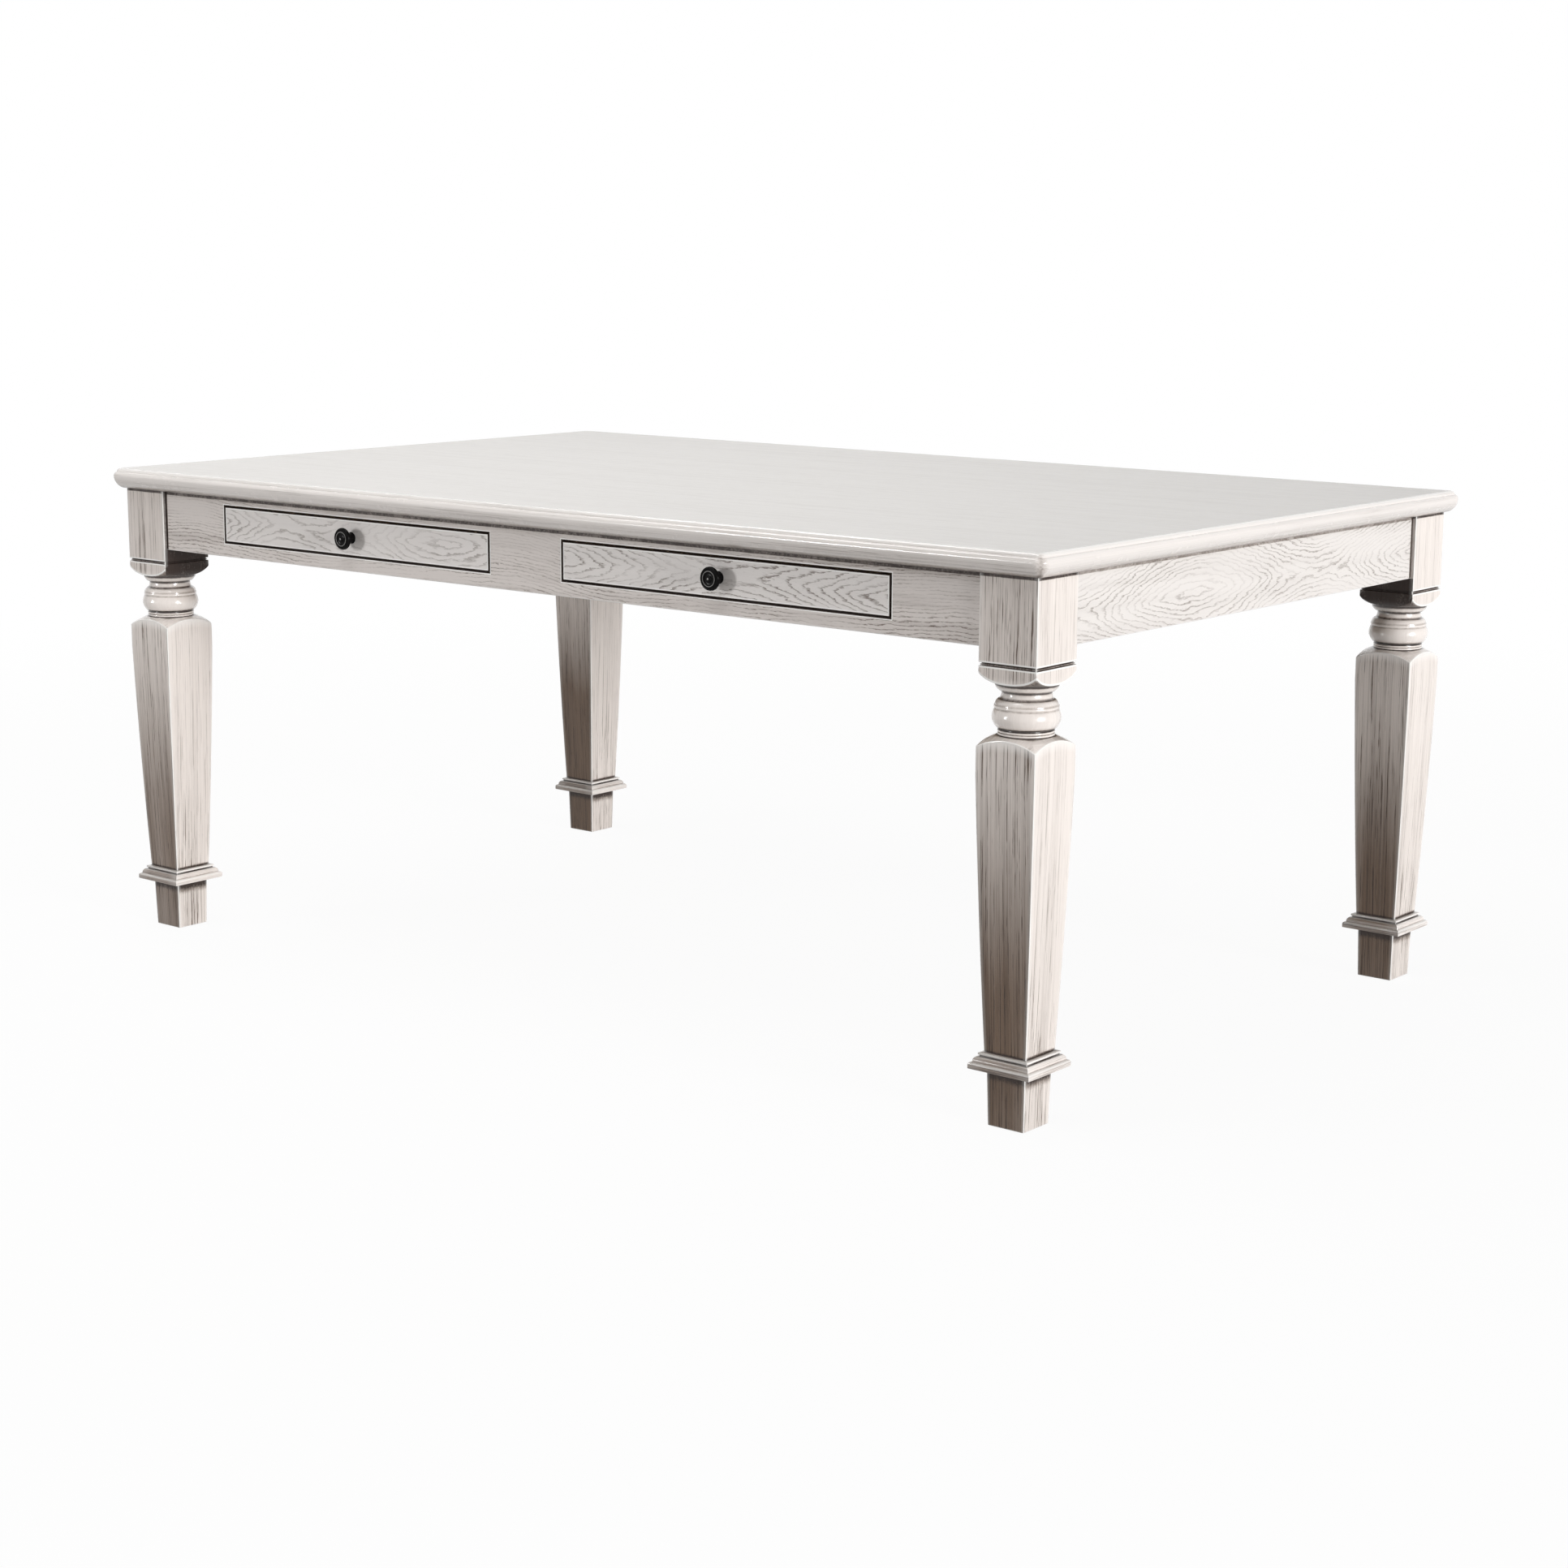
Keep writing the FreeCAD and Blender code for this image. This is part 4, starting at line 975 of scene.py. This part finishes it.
def leg_centre(side_x, side_y):
    leg = bpy.context.scene.table_leg
    inset = leg.overhang + leg.post_width / 2
    return Vector((side_x * (cad_high.x - inset), side_y * (cad_high.y - inset), 0))


def ankle_profile():
    """The ankle moulding's section from its inner foot, as (width out, height, glazing and painted shade,
    arris highlight).
    """
    points = [(0.0, 0.0, 1.0, 0.0), (0.0144, 0.0, 0.3, 0.0)]
    points += [(x, z, 0.1, 0.0) for x, z in arc((0.0144, 0.0), (0.0153, 0.0009), 0.0002, 2)]
    points += [(0.0153, 0.0055, 0.1, 0.0), (0.0153, 0.0062, 0.0, 0.2)]
    points += [(x, z, 0.0, 0.5) for x, z in arc((0.0153, 0.0062), (0.0134, 0.0086), 0.0005, 4)]
    points += [(0.0112, 0.0095, 0.35, 0.0), (0.0110, 0.0096, 0.45, 0.0)]
    band = arc((0.0110, 0.0096), (0.0072, 0.0164), 0.0012, 7)
    points += [(x, z, 0.15 if index == 0 else 0.0, 0.3 if index > 4 else 0.0)
               for index, (x, z) in enumerate(band)]
    points += [(0.0045, 0.0165, 0.8, 0.0), (0.0042, 0.0166, 1.0, 0.0), (0.0042, 0.0188, 1.0, 0.0)]
    points += [(0.0055, 0.0188, 0.5, 0.0), (0.0058, 0.0191, 0.1, 0.5), (0.0058, 0.0211, 0.0, 0.6)]
    points += [(0.0055, 0.0215, 0.0, 0.7), (0.0008, 0.0224, 0.5, 0.0), (0.0, 0.0225, 0.9, 0.0)]
    return points


def make_ankle(name, side_x, side_y):
    leg = bpy.context.scene.table_leg
    seat = leg.shaft_foot_width / 2
    centre = leg_centre(side_x, side_y)
    columns = square_columns(5)
    rings = []
    for width, height, glaze, arris in ankle_profile() + [ankle_profile()[0]]:
        ring = []
        for x, y, worn in square_ring(columns, seat + width, min(0.0006, width + 0.0002)):
            place = Vector((x + centre.x, y + centre.y, leg.foot_height + height))
            ring.append((place, glaze, max(arris, worn * 0.8)))
        rings.append(ring)
    mesh = stack_rings(rings, closed_path=True)
    piece = finish_mesh(mesh, "ankle_moulding_" + name + "_mitred", 30)
    seed = 1.7 * (side_x + 2 * side_y + 4)
    # The front and back faces take far more brown wash than the sides, which paints shade on them.
    for way, patina, strength in (("X", 0.84, (0.5, 0.8, 0.6)), ("Y", 0.06, (0.25, 0.45, 0.4))):
        piece.data.materials.append(white_oak(
            "ankle_oak_" + way + "_" + name, way, (centre.x, centre.y, 0.09), seed,
            rift(330.0), strength, ankle_masks(patina),
            paint=bpy.context.scene.table_finish.leg_paint))
    for polygon in piece.data.polygons:
        out = polygon.center - centre
        polygon.material_index = 1 if abs(out.x) > abs(out.y) else 0
    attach(piece, "table")
    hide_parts("ankle_moulding_" + name)


# Edge mouldings of the top

MITRE_ANGLE = 45
CORNER_STEPS = 6
STRAIGHT_STEPS = 12


def edge_section(top, height):
    """The moulding's section, as (inset from the edge, height, glazing and painted shade, arris highlight),
    from its underside outwards.
    """
    under = height - top.thickness
    quirk_inset = top.arris_inset - top.bead_width - top.quirk_width
    bead_inset = top.arris_inset - top.bead_width
    quirk = (-quirk_inset, height - top.bead_height - top.quirk_drop)
    bead = (-bead_inset, height - top.bead_height)
    nose = (0.0, height - top.nose_depth)
    bottom = (-top.nose_bottom_inset, under)
    # Painted shade on the underside and the lower part of the nose, and a painted highlight with some paint
    # wear on the bead's crown.
    points = [(-top.moulding_width, under, 0.0, 0.0), (*bottom, 0.7, 0.0)]
    lower = arc(bottom, nose, top.lower_bulge, 12)
    points += [(x, z, max(0.08, 0.55 - index * 0.12) if index < 9 else 0.0, 0.0)
               for index, (x, z) in enumerate(lower)]
    upper = arc(nose, quirk, top.upper_bulge, 7)
    points += [(x, z, 0.06 if index == 6 else 0.0, 0.0) for index, (x, z) in enumerate(upper)]
    points += [(*bead, 0.06, 0.0)]
    crown = arc(bead, (-top.arris_inset, height), top.bead_bulge, 6)
    points += [(x, z, 0.0, 0.5 if index > 2 else 0.2) for index, (x, z) in enumerate(crown)]
    points += [(-top.veneer_margin, height, 0.0, 0.0)]
    points += [(-top.veneer_margin, height - top.veneer_thickness, 0.0, 0.0)]
    points += [(-top.moulding_width, height - top.veneer_thickness, 0.0, 0.0)]
    return points


def make_edge(name, way, half_length, half_width, turn):
    """One mitred strip, made on the -Y side and turned into place."""
    top = bpy.context.scene.table_top
    section = edge_section(top, cad_high.z)
    radius = top.corner_radius
    turns = [MITRE_ANGLE * index / CORNER_STEPS for index in range(CORNER_STEPS + 1)]
    stations = [("left", angle) for angle in reversed(turns)]
    stations += [("straight", -1 + 2 * index / STRAIGHT_STEPS) for index in range(1, STRAIGHT_STEPS)]
    stations += [("right", angle) for angle in turns]
    straight = half_length - radius
    rings = []
    for kind, value in stations:
        ring = []
        for inset, height, glaze, arris in section:
            inset = -inset
            if kind == "straight":
                x = max(inset - half_length, min(half_length - inset, value * straight))
                y = inset - half_width
            else:
                sign = 1 if kind == "right" else -1
                if inset < radius:
                    angle = math.radians(value)
                    x = sign * (straight + (radius - inset) * math.sin(angle))
                    y = radius - half_width - (radius - inset) * math.cos(angle)
                    glaze = min(1.0, glaze + 0.26 * value / MITRE_ANGLE)
                else:
                    x = sign * (half_length - inset)
                    y = inset - half_width
            ring.append((Vector((x, y, height)), glaze, arris))
        rings.append(ring)
    mesh = stack_rings(rings)
    turn_mesh(mesh, turn)
    piece = finish_mesh(mesh, "top_edge_" + name, 40)
    piece.data.materials.append(white_oak(
        "edge_oak_" + name, way, (0, 0, 0.74), 5.3 + turn * 0.01,
        rift(420.0), (0.14, 0.25, 0.5) if way == "X" else (0.07, 0.15, 0.15), trim_masks,
        depth=0.00002))
    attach(piece, "table")
    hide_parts("edge_moulding_" + name)


# Knobs

def knob_profile(knob):
    """Points of (radius, distance out) from the base to the tip."""
    ease = 0.0003
    out = knob.base_thickness
    points = [(0.0, 0.0), (knob.base_radius - ease, 0.0), (knob.base_radius, ease),
              (knob.base_radius, out - ease), (knob.base_radius - ease, out),
              (knob.stem_radius + 0.0002, out)]

    def go(radius, rise, bulge, count):
        nonlocal out
        points.extend(arc(points[-1], (radius, out + rise), bulge, count))
        out += rise

    go(knob.stem_radius, knob.stem_length, -knob.stem_waist, 8)
    go(knob.rim_radius - ease, knob.flare_length - ease, -knob.flare_bulge, 14)
    go(knob.rim_radius, 2 * ease, 0.0002, 3)
    go(knob.rim_radius, knob.rim_thickness - ease, 0.0001, 3)
    go(knob.shoulder_radius, knob.shoulder_height - ease, 0.0006, 9)
    go(knob.shoulder_radius - 0.0004, 0.00015, 0.0001, 3)
    go(knob.groove_radius, -knob.groove_depth, 0.0, 3)
    go(knob.ring_radius, 0.0, 0.0, 1)
    go(knob.ring_inner_radius, 0.0, knob.ring_height, 14)
    go(knob.button_radius, 0.0, -knob.dish_depth, 6)
    reach = (knob.button_radius ** 2 + knob.button_height ** 2) / (2 * knob.button_height)
    swing = math.asin(min(1.0, knob.button_radius / reach))
    for index in range(1, 11):
        angle = swing * (1 - index / 10)
        points.append((reach * math.sin(angle), out + knob.button_height - reach + reach * math.cos(angle)))
    return points


def make_knob(side, material):
    knob = bpy.context.scene.table_knob
    low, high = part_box(side + "_drawer_front")
    centre = Vector(((low.x + high.x) / 2, low.y, (low.z + high.z) / 2))
    mesh = bmesh.new()
    last = None
    for radius, out in knob_profile(knob):
        vert = mesh.verts.new((radius, -out, 0))
        if last:
            mesh.edges.new((last, vert))
        last = vert
    bmesh.ops.spin(
        mesh, geom=mesh.verts[:] + mesh.edges[:], cent=(0, 0, 0), axis=(0, 1, 0),
        angle=2 * math.pi, steps=72, use_merge=True, use_duplicate=False)
    worn = mesh.verts.layers.float.new("worn")
    # Painted highlight on the ring's crest and the button's tip, with some wear.
    crests = (((knob.ring_radius + knob.ring_inner_radius) / 2, 0.0004, 0.6), (0.0, 0.0014, 1.0))
    face = knob.base_thickness + knob.stem_length + knob.flare_length
    for vert in mesh.verts:
        radius = math.hypot(vert.co.x, vert.co.z)
        in_front = -vert.co.y > face - 0.001
        vert[worn] = max(
            share if in_front and abs(radius - crest) < half else 0.0 for crest, half, share in crests)
    bmesh.ops.translate(mesh, verts=mesh.verts, vec=centre)
    piece = finish_mesh(mesh, side + "_turned_knob", 40)
    piece.data.materials.append(material)
    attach(piece, side + "_drawer")
    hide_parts(side + "_knob")


# Boards of the frame, which keep their CAD shape

def dress(name, material):
    for slot in nodes[name].material_slots:
        slot.material = material


def board_centre(name):
    low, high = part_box(name)
    return (low + high) / 2


def band(graph, value, centre, half, soft):
    """1 where the value is within half of the centre, falling to 0 over soft."""
    off = graph.math("ABSOLUTE", graph.minus(value, centre))
    return graph.ramp(off, half, half + soft, 1.0, 0.0)


def under_top(graph, height, strength=0.75):
    """Painted shadow in the crease below the top, crisp at its lower side with a little haze under it."""
    crease = cad_high.z - bpy.context.scene.table_top.thickness
    line = graph.ramp(height, crease - 0.0064, crease - 0.0052, 0.0, strength)
    haze = graph.ramp(height, crease - 0.016, crease - 0.005, 0.0, strength * 0.25)
    return graph.larger(line, haze)


def post_crease(graph, along, half_length):
    """Painted shade in the creases where an apron meets its posts."""
    leg = bpy.context.scene.table_leg
    post = half_length - leg.overhang - leg.post_width
    return graph.ramp(graph.math("ABSOLUTE", along), post - 0.0045, post - 0.0025)


PAINTED_DEPTH = 0.0210


def front_apron_masks(graph, coordinates, values):
    """Painted highlights round the drawer openings and on the lower edge, painted shade inside the openings,
    on their eased edges, under the top and at the posts, and bare wood behind.
    """
    mirrored = graph.vector("ABSOLUTE", coordinates)
    low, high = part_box("right_drawer_front")
    gap = Vector((0.002, 0, 0.002))
    rectangle = graph.group("rectangle_edge", {
        "Vector": mirrored, "Centre": (low + high) / 2, "Half Size": (high - low) / 2 + gap})
    distance = rectangle.outputs["Distance"]
    deep = graph.parts(coordinates)
    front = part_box("front_apron")[0].y
    # Painted shade inside the openings.
    inside = graph.times(graph.ramp(distance, 0.0012, 0.0014, 1.0, 0.0),
                        graph.ramp(deep[1], front + 0.0008, front + 0.0016))
    # A painted highlight round the openings and on the lower edge, and painted shade on the eased edges.
    lower = band(graph, deep[2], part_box("front_apron")[0].z, 0.0010, 0.0004)
    rubbed_and_highlit = graph.larger(band(graph, distance, 0.0018, 0.0006, 0.0003), graph.times(lower, 0.6))
    eased = graph.ramp(distance, 0.0009, 0.0012, 1.0, 0.0)
    return {
        "Arris": rubbed_and_highlit,
        "Glaze": graph.sum(
            under_top(graph, deep[2]), inside, eased, post_crease(graph, deep[0], cad_high.x), clamp=True),
        "Bare": graph.ramp(deep[1], front + PAINTED_DEPTH, front + PAINTED_DEPTH + 0.0005),
    }


def end_apron_masks(axis, outer):
    """Masks of an apron whose outer face lies at the given distance from the middle of the table, with a
    painted highlight along its lower edge and painted shade under the top and at the posts.
    """
    def masks(graph, coordinates, values):
        parts = graph.parts(coordinates)
        depth = graph.minus(outer, graph.math("ABSOLUTE", parts[axis]))
        lower = band(graph, parts[2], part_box("left_apron")[0].z, 0.0010, 0.0004)
        return {
            "Arris": graph.times(lower, 0.6),
            "Glaze": graph.sum(
                under_top(graph, parts[2], 0.45),
                post_crease(graph, parts[1 - axis], cad_high[1 - axis]), clamp=True),
            "Bare": graph.ramp(depth, PAINTED_DEPTH, PAINTED_DEPTH + 0.0005),
        }
    return masks


def drawer_front_masks(side):
    """Painted highlights round a drawer front, painted shade on its eased edge and on its sides in the gap,
    and bare wood behind.
    """
    low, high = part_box(side + "_drawer_front")

    def masks(graph, coordinates, values):
        rectangle = graph.group("rectangle_edge", {
            "Vector": coordinates, "Centre": (low + high) / 2, "Half Size": (high - low) / 2})
        distance = rectangle.outputs["Distance"]
        depth = graph.minus(graph.parts(coordinates)[1], low.y)
        return {
            "Arris": band(graph, distance, -0.0021, 0.0008, 0.0003),
            "Glaze": graph.larger(graph.ramp(distance, -0.0013, -0.0010), graph.ramp(depth, 0.0010, 0.0016)),
            "Bare": graph.ramp(depth, 0.0050, 0.0055),
        }
    return masks


def dress_aprons():
    finish = bpy.context.scene.table_finish
    dress("front_apron", white_oak(
        "oak_front_apron", "X on edge", board_centre("front_apron"), 2.0,
        cathedral(-0.1, 0.9, 1.2, -0.115, 330.0, 2.4), (0.14, 0.62, 0.9),
        front_apron_masks, finish.front_paint))
    ends = end_apron_masks(0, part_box("right_apron")[1].x)
    back = end_apron_masks(1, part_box("back_apron")[1].y)
    for name, way, seed, masks in (
            ("back_apron", "X on edge", 7.0, back),
            ("left_apron", "Y on edge", 11.0, ends),
            ("right_apron", "Y on edge", 16.0, ends)):
        dress(name, white_oak(
            "oak_" + name, way, board_centre(name), seed,
            cathedral(-0.16, 0.66, 5.2, 0.008, 360.0, 3.8), (0.17, 0.5, 0.3), masks, finish.end_paint))
    for side, seed, grain, strength in (
            ("left", 21.0, cathedral(-0.42, 0.62, 3.6, 0.002, 300.0, 4.0), (0.34, 0.25, 0.2)),
            ("right", 27.0, cathedral(-0.37, 0.78, 4.4, 0.0, 360.0, 3.8), (0.21, 0.60, 0.3))):
        name = side + "_drawer_front"
        dress(name, white_oak(
            "oak_" + name, "X on edge", board_centre(name), seed, grain, strength,
            drawer_front_masks(side), finish.drawer_paint))


def dress_top():
    finish = bpy.context.scene.table_finish
    dress("top_veneer", white_oak(
        "oak_top_veneer", "X", board_centre("top_veneer"), 33.0, rift(120.0),
        (0.02, 0.03, 0.07), paint=finish.top_paint, depth=0.00004))
    core_dark = [part * 0.7 for part in finish.core]
    dress("top_core", plain_wood(
        "core_board", "X", board_centre("top_core"), 35.0, finish.core, core_dark, 0.7))


INNER_NODES = ("cross_rail", "drawer_runner", "drawer_kickers", "drawer_stops", "corner_block", "rail_dowels")
METAL_NODES = ("top_brackets", "bracket_screws", "hanger_bolts", "bolt_", "corner_block_screws")


def dress_hidden():
    finish = bpy.context.scene.table_finish
    darker = [part * 0.62 for part in finish.drawer_wood]
    for name in sorted(nodes):
        way = "Y" if "_drawer_side" in name else "X"
        if way == "Y" or name.endswith(("_drawer_back", "_drawer_bottom")):
            label = ("side_wood_" if way == "Y" else "panel_wood_") + name
            dress(name, plain_wood(label, way, board_centre(name), len(name), finish.drawer_wood, darker))
    inner_dark = [part * 0.6 for part in finish.inner_wood]
    long_wood = plain_wood(
        "inner_wood_lengthwise", "Y", (0, 0, 0.7), 41.0, finish.inner_wood, inner_dark, 0.7)
    zinc = metal("zinc_plate", finish.zinc, 0.35, 1.0, 0.00003)
    for name in nodes:
        if name.startswith(METAL_NODES) or name.endswith("_knob_screw"):
            dress(name, zinc)
        elif name.startswith(INNER_NODES):
            dress(name, long_wood)
    dress("foot_glides", metal("glide_nylon", finish.glide, 0.5, 0.0, 0.00005))


# Stage

CAMERA_ANGLES = (39.305, 11.158, 0.263)
CAMERA_PLACE = Vector((2.9257, -3.5234, 1.1756))
CAMERA_LENS = 66.65


def add_lamp(kind, name, place, target, power, **settings):
    data = bpy.data.lights.new(name, kind)
    data.energy = power
    for setting, value in settings.items():
        setattr(data, setting, value)
    lamp = add_object(name, data)
    lamp.location = place
    lamp.rotation_mode = "QUATERNION"
    lamp.rotation_quaternion = (Vector(target) - Vector(place)).to_track_quat("-Z", "Y")


def make_camera():
    """A camera at the photograph's yaw, pitch and roll, solved on the lines of the table."""
    yaw, pitch, roll = (math.radians(angle) for angle in CAMERA_ANGLES)
    forward = Vector((-math.sin(yaw) * math.cos(pitch), math.cos(yaw) * math.cos(pitch), -math.sin(pitch)))
    level = Vector((math.cos(yaw), math.sin(yaw), 0))
    upright = level.cross(forward)
    right = level * math.cos(roll) + upright * math.sin(roll)
    up = -level * math.sin(roll) + upright * math.cos(roll)
    data = bpy.data.cameras.new("camera")
    data.sensor_fit = "HORIZONTAL"
    data.sensor_width = 36.0
    data.lens = CAMERA_LENS
    data.clip_end = 200
    camera = add_object("camera", data)
    matrix = Matrix((right, up, -forward)).transposed().to_4x4()
    matrix.translation = CAMERA_PLACE
    camera.matrix_world = matrix
    bpy.context.scene.camera = camera


def seen_rays(graph):
    """1 for rays that show the surroundings to the camera, straight or by a reflection."""
    path = graph.add("ShaderNodeLightPath").outputs
    return graph.sum(path["Is Camera Ray"], path["Is Glossy Ray"], path["Is Transmission Ray"], clamp=True)


def cleared_graph(owner):
    owner.use_nodes = True
    owner.node_tree.nodes.clear()
    return Graph(owner.node_tree)


def make_floor():
    mesh = bmesh.new()
    bmesh.ops.create_grid(mesh, x_segments=2, y_segments=2, size=60.0)
    floor = mesh_object(mesh, "studio_floor")
    material = bpy.data.materials.new("studio_floor")
    graph = cleared_graph(material)
    output = graph.add("ShaderNodeOutputMaterial")
    seen = seen_rays(graph)
    place = graph.object_place()
    reach = graph.distance(place)
    under = graph.distance(graph.vector("MULTIPLY", place, (0.6, 1.0, 0.0)))
    # Under the table the floor is darker for light bounced onto the table, which paints shade there; the
    # camera still sees it nearly white.
    bounce = graph.blend(graph.ramp(under, 0.4, 0.9), (0.26, 0.25, 0.24, 1), (0.54, 0.53, 0.52, 1))
    lit = graph.add("ShaderNodeBsdfDiffuse", {"Color": graph.blend(seen, bounce, (0.95, 0.95, 0.95, 1))})
    share = graph.times(seen, graph.ramp(reach, 1.0, 4.5, 0.95, 1.0))
    white = graph.add("ShaderNodeEmission", {"Color": (1, 1, 1, 1), "Strength": 1.0})
    mix = graph.add("ShaderNodeMixShader", {0: share, 1: lit.outputs[0], 2: white.outputs[0]})
    graph.give(output.inputs["Surface"], mix.outputs[0])
    floor.data.materials.append(material)
    floor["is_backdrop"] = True


def make_world():
    world = bpy.data.worlds.new("studio")
    graph = cleared_graph(world)
    output = graph.add("ShaderNodeOutputWorld")
    lit = graph.add("ShaderNodeBackground", {"Color": (1.0, 0.975, 0.945, 1.0), "Strength": 0.175})
    white = graph.add("ShaderNodeBackground", {"Color": (1, 1, 1, 1), "Strength": 1.0})
    mix = graph.add("ShaderNodeMixShader", {0: seen_rays(graph), 1: lit.outputs[0], 2: white.outputs[0]})
    graph.give(output.inputs["Surface"], mix.outputs[0])
    bpy.context.scene.world = world


# Operators, one for each group of pieces

class TABLE_OT_legs(bpy.types.Operator):
    """Make the four turned and tapered legs"""
    bl_idname = "table.legs"
    bl_label = "Legs"

    def execute(self, context):
        for name, (side_x, side_y, turn) in CORNERS.items():
            make_leg(name, side_x, side_y, turn)
        return {"FINISHED"}


class TABLE_OT_ankles(bpy.types.Operator):
    """Make the mitred mouldings round the ankles"""
    bl_idname = "table.ankles"
    bl_label = "Ankle mouldings"

    def execute(self, context):
        for name, (side_x, side_y, _) in CORNERS.items():
            make_ankle(name, side_x, side_y)
        return {"FINISHED"}


class TABLE_OT_top(bpy.types.Operator):
    """Make the moulded edge of the top and finish the boards inside it"""
    bl_idname = "table.top"
    bl_label = "Top"

    def execute(self, context):
        make_edge("front", "X", cad_high.x, cad_high.y, 0)
        make_edge("back", "X", cad_high.x, cad_high.y, 180)
        make_edge("right", "Y", cad_high.y, cad_high.x, 90)
        make_edge("left", "Y", cad_high.y, cad_high.x, 270)
        dress_top()
        return {"FINISHED"}


class TABLE_OT_boards(bpy.types.Operator):
    """Finish the aprons, drawers and hidden boards"""
    bl_idname = "table.boards"
    bl_label = "Boards"

    def execute(self, context):
        dress_aprons()
        dress_hidden()
        return {"FINISHED"}


class TABLE_OT_knobs(bpy.types.Operator):
    """Turn the two knobs"""
    bl_idname = "table.knobs"
    bl_label = "Knobs"

    def execute(self, context):
        finish = context.scene.table_finish
        black = metal("knob_black", finish.knob, 0.18, 0.0, 0.000005, 0.06, finish.knob_wear_and_highlight)
        for side in ("left", "right"):
            make_knob(side, black)
        return {"FINISHED"}


class TABLE_OT_stage(bpy.types.Operator):
    """Set up the floor, the lamps, the world and the camera"""
    bl_idname = "table.stage"
    bl_label = "Stage"

    def execute(self, context):
        make_floor()
        make_world()
        make_camera()
        add_lamp("SUN", "far_window", (9.0, -0.8, 1.25), (0, 0, 0.4), 3.8, angle=math.radians(22))
        add_lamp("AREA", "softbox_left", (-5.7, -8.6, 1.6), (0, -0.5, 0.7), 16.0,
                 shape="RECTANGLE", size=1.5, size_y=2.2, spread=math.radians(40))
        add_lamp("AREA", "overhead", (-0.7, -0.9, 3.5), (0, 0, 0.7), 60,
                 shape="RECTANGLE", size=4.0, size_y=0.7)
        context.scene.view_settings.view_transform = "Standard"
        return {"FINISHED"}


class TABLE_PT_panel(bpy.types.Panel):
    """Lists the steps that dress the table"""
    bl_label = "Farmhouse Table"
    bl_space_type = "VIEW_3D"
    bl_region_type = "UI"
    bl_category = "Table"

    def draw(self, context):
        for operator in OPERATORS:
            self.layout.operator(operator.bl_idname)


OPERATORS = (TABLE_OT_legs, TABLE_OT_ankles, TABLE_OT_top, TABLE_OT_boards, TABLE_OT_knobs, TABLE_OT_stage)


def register():
    for group in GROUPS.values():
        bpy.utils.register_class(group)
    for name, group in GROUPS.items():
        setattr(bpy.types.Scene, name, PointerProperty(type=group))
    for kind in OPERATORS + (TABLE_PT_panel,):
        bpy.utils.register_class(kind)


def unregister():
    for kind in reversed(OPERATORS + (TABLE_PT_panel,)):
        bpy.utils.unregister_class(kind)
    for name in GROUPS:
        delattr(bpy.types.Scene, name)
    for group in reversed(list(GROUPS.values())):
        bpy.utils.unregister_class(group)


def main():
    register()
    oak_cathedral()
    oak_rift()
    whitewash()
    rectangle_edge()
    bpy.ops.table.legs()
    bpy.ops.table.ankles()
    bpy.ops.table.top()
    bpy.ops.table.boards()
    bpy.ops.table.knobs()
    bpy.ops.table.stage()


if __name__ == "__main__":
    main()
